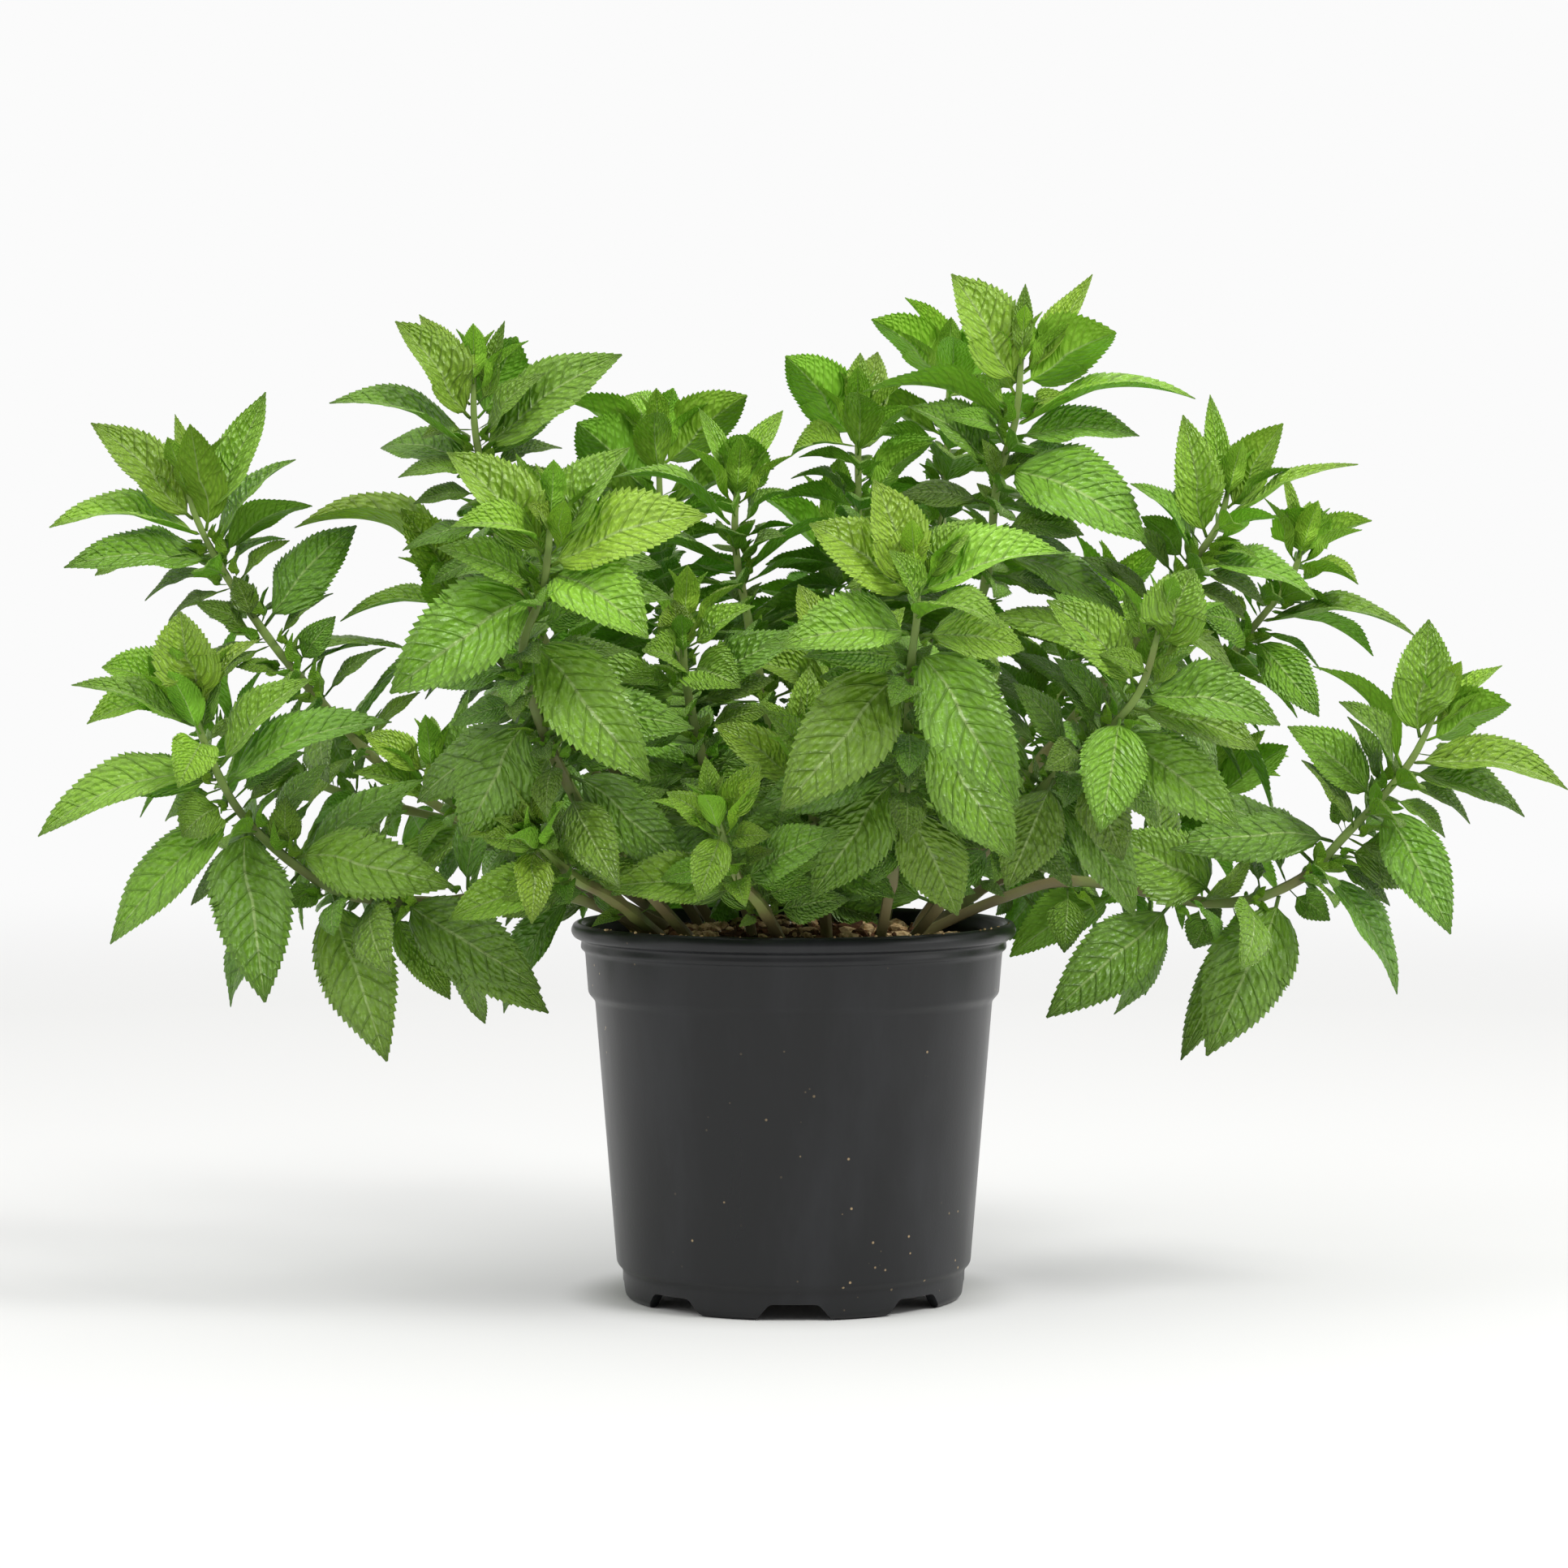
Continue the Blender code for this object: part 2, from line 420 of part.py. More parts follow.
class Plant:
    """All stems and leaves, each leaf clear of everything placed before it."""

    def __init__(self, solids):
        self.stems = {number: Stem(number, places) for number, places in STEMS.items()}
        self.solids = solids
        self.leaves = []
        self.stem_trees = {}
        for number, stem in self.stems.items():
            self.stem_trees[number] = tree_of(*stem_shell(stem, (), 0.5 * CLEARANCE * MM))

    def clear(self, stem, blade):
        """The blade's search tree and box when it touches nothing, or None."""
        points, faces = self.skin(stem, blade, CLEARANCE * MM)
        tree, low, high = tree_of(points, faces)
        for solid in self.solids:
            if not apart(low, high, solid[1], solid[2]) and tree.overlap(solid[0]):
                return None
        for number, (other, other_low, other_high) in self.stem_trees.items():
            if apart(low, high, other_low, other_high):
                continue
            if number == stem.number:
                beyond = [face for face in faces if min(face) >= 4]
                other_tree = BVHTree.FromPolygons([tuple(p) for p in points], beyond)
                if other_tree.overlap(other):
                    return None
            elif tree.overlap(other):
                return None
        for leaf in self.leaves:
            if not apart(low, high, leaf.low, leaf.high) and tree.overlap(leaf.tree):
                return None
        return tree, low, high

    def skin(self, stem, blade, fat):
        """Points and faces of the blade, its section made this much fatter, from the stem's whole side."""
        half = stem.half(blade.at)
        _, up, _ = stem.at(blade.at)
        across = up.cross(blade.out) * half
        rise = up * (0.5 * NODE_HEIGHT * MM)
        low, high = blade.root - rise, blade.root + rise
        points = [low - across, low + across, high + across, high - across]
        faces = []
        rings = [blade.ring(t, part, fat) for t, part in blade.stations()]
        tube(points, faces, [0, 1, 2, 3], rings, blade.tip)
        return points, faces

    @staticmethod
    def root_square(stem, blade):
        _, up, _ = stem.at(blade.at)
        across = up.cross(blade.out)
        corners = ((-1, -1), (1, -1), (1, 1), (-1, 1))
        return [blade.root + across * (i * ROOT_HALF * MM) + up * (j * ROOT_HALF * MM) for i, j in corners]

    def part(self, room):
        """The largest leaves that clear everything, and the shells of the stems with the others."""
        tied = set()
        while True:
            ranked = [leaf for leaf in self.leaves if leaf not in tied]
            ranked.sort(key=lambda leaf: -leaf.blade.length * leaf.blade.width)
            alone = ranked[:room]
            kept = set(alone)
            joined = {number: [] for number in self.stems}
            for leaf in self.leaves:
                if leaf not in kept:
                    joined[leaf.stem.number].append(leaf)
            shells = {number: stem_shell(stem, joined[number]) for number, stem in self.stems.items()}
            trees = [tree_of(*shell) for shell in shells.values()]
            held = set()
            for leaf in alone:
                tree, low, high = tree_of(*leaf_shell(leaf))
                near = [other for other, *box in trees if not apart(low, high, *box)]
                if any(tree.overlap(other) for other in near):
                    held.add(leaf)
            if not held:
                break
            tied |= held
        alone.sort(key=lambda leaf: (leaf.stem.number, leaf.joint, leaf.side))
        for i, leaf in enumerate(alone):
            leaf.name = f"leaf_{i + 1:02d}"
        return alone, shells

    def add(self, stem, joint, side, blade, found):
        stem.joints.setdefault(joint, {})[side] = True
        self.leaves.append(Leaf(stem, joint, side, blade, *found))

    def place(self, stem, s, tip, width, facing, arch):
        """Places a leaf whose tip is known."""
        for nearer, turn, scale in PLACED_TRIES:
            goal = tip + Vector((0, nearer * MM, 0))
            start, _, _ = stem.at(s)
            seat = stem.seat(s, (goal - start).normalized())
            if seat is None:
                continue
            joint, side = seat
            point, _, ways = stem.ways(joint)
            root = point + ways[side] * (stem.half(joint) + GAP * MM)
            reach = goal - root
            length = min(reach.length * scale, LONGEST_LEAF * MM) * LEAF_SCALE
            hint = UP * (1 - abs(facing)) + FRONT * facing
            size = LEAF_SCALE * scale
            goal = root + reach.normalized() * length
            blade = Blade(root, ways[side], goal, hint, width * size * MM, arch * size * MM, turn)
            blade.at = joint
            found = self.clear(stem, blade)
            if found:
                self.add(stem, joint, side, blade, found)
                return True
        return False

    def grow(self, stem, s, side, length, lift, size=1.0):
        """Places a leaf that grows from a side of the stem, its length and lift given."""
        for turn, more, scale in LOOSE_TRIES:
            _, up, ways = stem.ways(s)
            turn = math.radians(turn)
            way = ways[side] * math.cos(turn) + up.cross(ways[side]) * math.sin(turn)
            rise = math.radians(lift + more)
            toward = way * math.sin(rise) + up * math.cos(rise)
            toward.z -= 0.1 + DROOP * min(100.0, s / MM)
            toward.normalize()
            seat = stem.seat(s, way)
            if seat is None:
                return False
            joint, found_side = seat
            point, _, found_ways = stem.ways(joint)
            root = point + found_ways[found_side] * (stem.half(joint) + GAP * MM)
            reach = length * scale * size * LEAF_SCALE * MM
            if reach < SHORTEST_LOOSE * MM:
                return False
            goal = root + toward * reach
            if goal.y > PLANT_DEPTH * PLANT_SCALE * MM or before_pot(goal):
                continue
            outward = Vector((point.x, point.y, 0)).normalized()
            to_front = max(0.0, min(1.0, (90 * MM - point.y) / (90 * MM)))
            hint = up * 0.4 + UP * 0.5 + outward * 0.7 + FRONT * (0.9 * to_front)
            blade = Blade(root, found_ways[found_side], goal, hint, 0.47 * reach, 0.1 * reach)
            blade.at = joint
            found = self.clear(stem, blade)
            if found:
                self.add(stem, joint, found_side, blade, found)
                return True
        return False

    def fill(self):
        """Places every leaf, the known ones first."""
        for number, leaves in LEAVES.items():
            for s, x, y, z, width, facing, arch in leaves:
                stem = self.stems[number]
                self.place(stem, s * MM * PLANT_SCALE, placed(x, y, z), width, facing, arch)
        for k, (s, length, lift) in enumerate(zip(LOOSE_AT, LOOSE_LENGTH, LOOSE_LIFT)):
            for number, stem in self.stems.items():
                if s * MM > stem.length - 14 * MM or s < LOOSE_FROM.get(number, 22):
                    continue
                for side in ((0, 2), (1, 3))[k % 2]:
                    _, _, ways = stem.ways(s * MM)
                    if number <= 20 and number not in LOOSE_FROM and ways[side].y < -0.35 and s < 80:
                        continue
                    self.grow(stem, s * MM, side, length, lift)


def stem_shell(stem, leaves, fat=0.0):
    """Points and faces of a stem with its leaves as one closed skin."""
    cuts = {0.0, stem.length}
    step = 0.5 * NODE_HEIGHT * MM
    joints = sorted({leaf.joint for leaf in leaves})
    for joint in joints:
        cuts |= {joint - step, joint + step}
    marks = sorted(cuts)
    filled = []
    for a, b in zip(marks, marks[1:]):
        filled.append(a)
        parts = max(1, math.ceil((b - a) / (26 * MM)))
        filled.extend(a + (b - a) * i / parts for i in range(1, parts))
    filled.append(marks[-1])
    filled.reverse()  # from the soil up
    points, faces, rings = [], [], []
    for s in filled:
        middle, _, _ = stem.at(s)
        rings.append([len(points) + i for i in range(4)])
        ring = [corner + (corner - middle).normalized() * fat for corner in stem.corners(s)]
        if s == stem.length:
            for corner in ring:
                corner.z = (soil_height(corner.x / MM, corner.y / MM) + GAP) * MM
        points.extend(ring)
    by_place = {(leaf.joint, leaf.side): leaf for leaf in leaves}
    faces.append(rings[0][::-1])
    faces.append(list(rings[-1]))
    for (low_s, high_s), lower, upper in zip(zip(filled, filled[1:]), rings, rings[1:]):
        middle = 0.5 * (low_s + high_s)
        joint = next((j for j in joints if abs(j - middle) < 0.1 * MM and low_s - high_s < 3 * MM), None)
        for k in range(4):
            quad = [lower[k], lower[(k + 1) % 4], upper[(k + 1) % 4], upper[k]]
            leaf = by_place.get((joint, k))
            if leaf is None:
                faces.append(quad)
            else:
                blade = leaf.blade
                tube(points, faces, quad, [blade.ring(t, share) for t, share in blade.stations()], blade.tip)
    return points, faces


def leaf_shell(leaf):
    """Points and faces of a leaf that stands beside its stem as a body of its own."""
    blade = leaf.blade
    points = Plant.root_square(leaf.stem, blade)
    faces = [[3, 2, 1, 0]]
    tube(points, faces, [0, 1, 2, 3], [blade.ring(t, share) for t, share in blade.stations()], blade.tip)
    return points, faces


def soil_profile():
    """From the top of the mound outwards and down the side to the middle of the floor."""
    mound = [(75.0 * share, SOIL_EDGE + SOIL_RISE * (1 - share * share)) for share in (0.0, 0.4, 0.75, 0.985)]
    return (*mound, *SOIL_SIDE)


def add_turned(name, profile, material, collection):
    """A profile in millimetres turned round the Z axis."""
    mesh = bpy.data.meshes.new(name)
    points = [(radius * POT_SCALE * MM, 0.0, height * MM) for radius, height in profile]
    mesh.from_pydata(points, [(i, i + 1) for i in range(len(points) - 1)], [])
    mesh.materials.append(material)
    obj = bpy.data.objects.new(name, mesh)
    collection.objects.link(obj)
    screw = obj.modifiers.new("turn", "SCREW")
    screw.steps = POT_STEPS
    screw.render_steps = POT_STEPS
    screw.use_merge_vertices = True
    screw.merge_threshold = 0.0001
    screw.use_smooth_shade = True
    return obj


def add_foot_cutter(collection):
    """The notches round the foot and the drainage holes of the floor, as one helper."""
    edit = bmesh.new()
    for i in range(FOOT_NOTCHES):
        turn = Matrix.Rotation(2 * math.pi * i / FOOT_NOTCHES, 4, "Z")
        notch = bmesh.ops.create_cube(edit, size=1.0)["verts"]
        for corner in notch:
            top = corner.co.z > 0
            width = NOTCH_TOP if top else NOTCH_FOOT * (1 + 2.0 / NOTCH_HEIGHT * (1 - NOTCH_TOP / NOTCH_FOOT))
            height = NOTCH_HEIGHT if top else -2.0
            corner.co = Vector((corner.co.x * width, corner.co.y * 20.0 - 62.0 * POT_SCALE, height)) * MM
        bmesh.ops.transform(edit, matrix=turn, verts=notch)
        place = turn @ Matrix.Translation((0, -DRAIN_CIRCLE * POT_SCALE * MM, 10 * MM))
        radius = DRAIN_RADIUS * MM
        bmesh.ops.create_cone(
            edit, cap_ends=True, segments=16, radius1=radius, radius2=radius, depth=8 * MM, matrix=place,
        )
    mesh = bpy.data.meshes.new("foot_cutter")
    edit.to_mesh(mesh)
    edit.free()
    cutter = bpy.data.objects.new("foot_cutter", mesh)
    collection.objects.link(cutter)
    cutter.hide_render = True
    cutter.display_type = "WIRE"
    return cutter


def evaluated_tree(obj):
    """A search tree and box of the object with its modifiers."""
    graph = bpy.context.evaluated_depsgraph_get()
    evaluated = obj.evaluated_get(graph)
    mesh = evaluated.to_mesh()
    found = tree_of([v.co.copy() for v in mesh.vertices], [list(face.vertices) for face in mesh.polygons])
    evaluated.to_mesh_clear()
    return found


def add_loft(name, shell, material, collection):
    """A mesh object of a lofted skin, its faces turned out."""
    points, faces = shell
    mesh = bpy.data.meshes.new(name)
    mesh.from_pydata([tuple(p) for p in points], [], faces)
    edit = bmesh.new()
    edit.from_mesh(mesh)
    bmesh.ops.recalc_face_normals(edit, faces=edit.faces)
    edit.to_mesh(mesh)
    edit.free()
    mesh.materials.append(material)
    obj = bpy.data.objects.new(name, mesh)
    collection.objects.link(obj)
    return obj


def add_material(name, colour, roughness):
    material = bpy.data.materials.new(name)
    material.use_nodes = True
    shader = material.node_tree.nodes["Principled BSDF"]
    shader.inputs["Base Color"].default_value = (*colour, 1.0)
    shader.inputs["Roughness"].default_value = roughness
    return material


def new_collection(name):
    collection = bpy.data.collections.new(name)
    bpy.context.scene.collection.children.link(collection)
    return collection


def main():
    for obj in list(bpy.data.objects):
        bpy.data.objects.remove(obj, do_unlink=True)
    whole = new_collection("potted_mint")
    helpers = new_collection("cutters")
    pot = add_turned("pot", POT_PROFILE, add_material("pot_plastic", (0.022, 0.023, 0.025), 0.45), whole)
    cut = pot.modifiers.new("foot", "BOOLEAN")
    cut.object = add_foot_cutter(helpers)
    cut.operation = "DIFFERENCE"
    cut.solver = "EXACT"
    mix = add_material("potting_mix", (0.06, 0.035, 0.02), 0.95)
    soil = add_turned("potting_soil", soil_profile(), mix, whole)

    bpy.context.view_layer.update()
    plant = Plant([evaluated_tree(pot), evaluated_tree(soil)])
    plant.fill()
    alone, shells = plant.part(MOST_NODES - 2 - len(plant.stems))
    for leaf in alone:
        age = min(1.0, leaf.joint / (60 * MM))
        colour = [young + (old - young) * age for young, old in zip(YOUNG_GREEN, OLD_GREEN)]
        add_loft(leaf.name, leaf_shell(leaf), add_material(f"mint_{leaf.name}", colour, 0.5), whole)
    for number, shell in shells.items():
        add_loft(f"stem_{number:02d}", shell, add_material(f"mint_stem_{number:02d}", STEM_GREEN, 0.6), whole)


main()
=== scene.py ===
"""A potted mint plant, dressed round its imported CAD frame.

The pot, its soil, the square stems and every leaf are built here in metres, in the frame's own axes. The
stems and the leaves stand where the frame has them, because both grow from the same places by the same rules.
Small leaves in the crowns and leaf axils, the crumbs of the soil and all surface detail are added to what the
frame holds.
"""

import logging
import math
import random
from dataclasses import dataclass, field
from enum import Enum
from typing import Any, Iterable, Optional

import bmesh
import bpy
import numpy as np
from mathutils import Matrix, Vector, noise
from mathutils.bvhtree import BVHTree


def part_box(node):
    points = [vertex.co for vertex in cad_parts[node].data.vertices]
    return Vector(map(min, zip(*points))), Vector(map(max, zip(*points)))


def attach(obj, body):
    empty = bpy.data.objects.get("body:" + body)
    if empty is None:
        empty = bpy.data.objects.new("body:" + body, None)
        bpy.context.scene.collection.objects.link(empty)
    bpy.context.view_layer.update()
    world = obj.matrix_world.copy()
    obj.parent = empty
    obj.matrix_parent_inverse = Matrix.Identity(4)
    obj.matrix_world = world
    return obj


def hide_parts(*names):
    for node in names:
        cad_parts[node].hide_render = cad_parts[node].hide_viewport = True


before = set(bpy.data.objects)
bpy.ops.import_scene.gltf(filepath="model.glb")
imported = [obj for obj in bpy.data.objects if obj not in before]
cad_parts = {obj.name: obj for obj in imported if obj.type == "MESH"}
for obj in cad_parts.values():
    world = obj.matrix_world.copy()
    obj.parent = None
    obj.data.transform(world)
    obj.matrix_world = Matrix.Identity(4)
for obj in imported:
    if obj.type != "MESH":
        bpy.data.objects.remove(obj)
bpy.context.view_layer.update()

LOG = logging.getLogger("potted_mint")
MM = 0.001
UP = Vector((0, 0, 1))
FRONT = Vector((0, -1, 0))
SEED = 11

Tree = tuple[BVHTree, Vector, Vector]
Places = list[Vector]
Faces = list[list[int]]

# The plant's sizes, in millimetres, as in the frame
LEAF_THICK = 1.0
LONGEST_LEAF = 66.0
STEM_THICK = 1.9
STEM_TIP = 0.9
NODE_HEIGHT = 2.4
NODE_GAP = 3.3
SHORTEST_LOOSE = 30.0
BARE_FRONT = (98.0, 152.0)  # half width and top of the space before the pot that a grown leaf keeps out of
DROOP = 0.0035  # how much further down such a leaf points for each millimetre from the stem's tip
GAP = 0.3
CLEARANCE = 0.55
PLANT_DEPTH = 163.0
SOIL_EDGE = 128.6
SOIL_RISE = 10.0
SOIL_RADIUS = 75.0

# Each stem from the soil to its tip
STEMS = {
    1: ((-45, 8, 134), (-100, 12, 163), (-148, 16, 191), (-184, 18, 228), (-208, 20, 260), (-222, 20, 285),
        (-228, 20, 303)),
    2: ((-46, -26, 134), (-79, -37, 150), (-105, -45, 151), (-140, -55, 150), (-167, -58, 156),
    (-195, -60, 179),
        (-209, -60, 204), (-216, -60, 226)),
    3: ((-30, 12, 134), (-70, 8, 200), (-105, 2, 270), (-117, 0, 316), (-118, 0, 343)),
    4: ((-35, -45, 134), (-75, -80, 185), (-94, -97, 235), (-87, -100, 262), (-84, -100, 290)),
    5: ((-15, 40, 134), (-35, 70, 200), (-50, 95, 270), (-53, 100, 324)),
    6: ((2, 20, 134), (-5, 25, 190), (-17, 29, 250), (-22, 30, 280), (-21, 30, 303)),
    7: ((30, -55, 134), (38, -90, 185), (40, -116, 235), (42, -120, 254), (41, -121, 270)),
    8: ((25, 10, 134), (50, 6, 200), (70, 2, 260), (75, 0, 300), (82, 0, 325), (84, 0, 350)),
    9: ((15, 35, 134), (22, 60, 210), (25, 78, 280), (25, 80, 332)),
    10: ((35, 48, 134), (50, 85, 220), (60, 115, 300), (62, 120, 353)),
    11: ((45, 12, 134), (85, 8, 190), (125, 3, 240), (147, 0, 271), (157, 0, 286), (161, 0, 301)),
    12: ((40, -44, 134), (80, -78, 184), (110, -98, 214), (121, -100, 229), (127, -101, 251)),
    13: ((48, 36, 134), (68, 46, 154), (100, 58, 178), (150, 72, 215), (179, 79, 248), (193, 80, 266),
    (198, 80, 281)),
    14: ((46, -14, 134), (75, -15, 148), (104, -17, 155), (155, -20, 147), (184, -20, 155), (202, -20, 172),
         (225, -20, 198), (236, -20, 221)),
    15: ((-15, -30, 134), (-30, -45, 190), (-39, -50, 230), (-39, -50, 254)),
    16: ((-4, -50, 134), (-12, -80, 151), (-20, -97, 162), (-27, -110, 184)),
    17: ((-46, -32, 134), (-64, -58, 151), (-78, -82, 161), (-91, -100, 176)),
    18: ((-55, -5, 134), (-98, -18, 170), (-128, -24, 186), (-132, -24, 200)),
    19: ((-44, 34, 134), (-72, 46, 152), (-112, 60, 168), (-180, 75, 185), (-225, 80, 208), (-240, 80, 224)),
    20: ((-35, 25, 134), (-80, 28, 200), (-118, 26, 245), (-126, 24, 268)),
    21: ((-30, 50, 134), (-70, 96, 190), (-98, 124, 238), (-106, 130, 262)),
    22: ((-2, 58, 134), (6, 98, 200), (14, 122, 262), (16, 127, 292)),
    23: ((22, 53, 134), (50, 74, 157), (85, 98, 195), (116, 114, 240), (126, 120, 262)),
    24: ((-10, 50, 134), (-19, 80, 153), (-34, 106, 165), (-46, 124, 178), (-50, 130, 205)),
    25: ((50, 22, 134), (80, 36, 153), (114, 52, 159), (152, 84, 168), (172, 100, 192)),
    26: ((12, -40, 134), (8, -68, 175), (2, -82, 208)),
    27: ((0, -2, 134), (18, -18, 200), (12, -30, 240)),
}
# Where a stem starts to carry leaves that have no place of their own below, measured back from its tip
LOOSE_FROM = {21: 2, 22: 2, 23: 2, 24: 2, 25: 2, 26: 2, 27: 2, 10: 2, 9: 8, 5: 8, 19: 2, 20: 2}
LOOSE_AT = (6, 16, 30, 50, 76, 106, 140)
LOOSE_LENGTH = (32, 38, 46, 52, 54, 50, 46)
LOOSE_LIFT = (28, 46, 62, 78, 90, 97, 102)

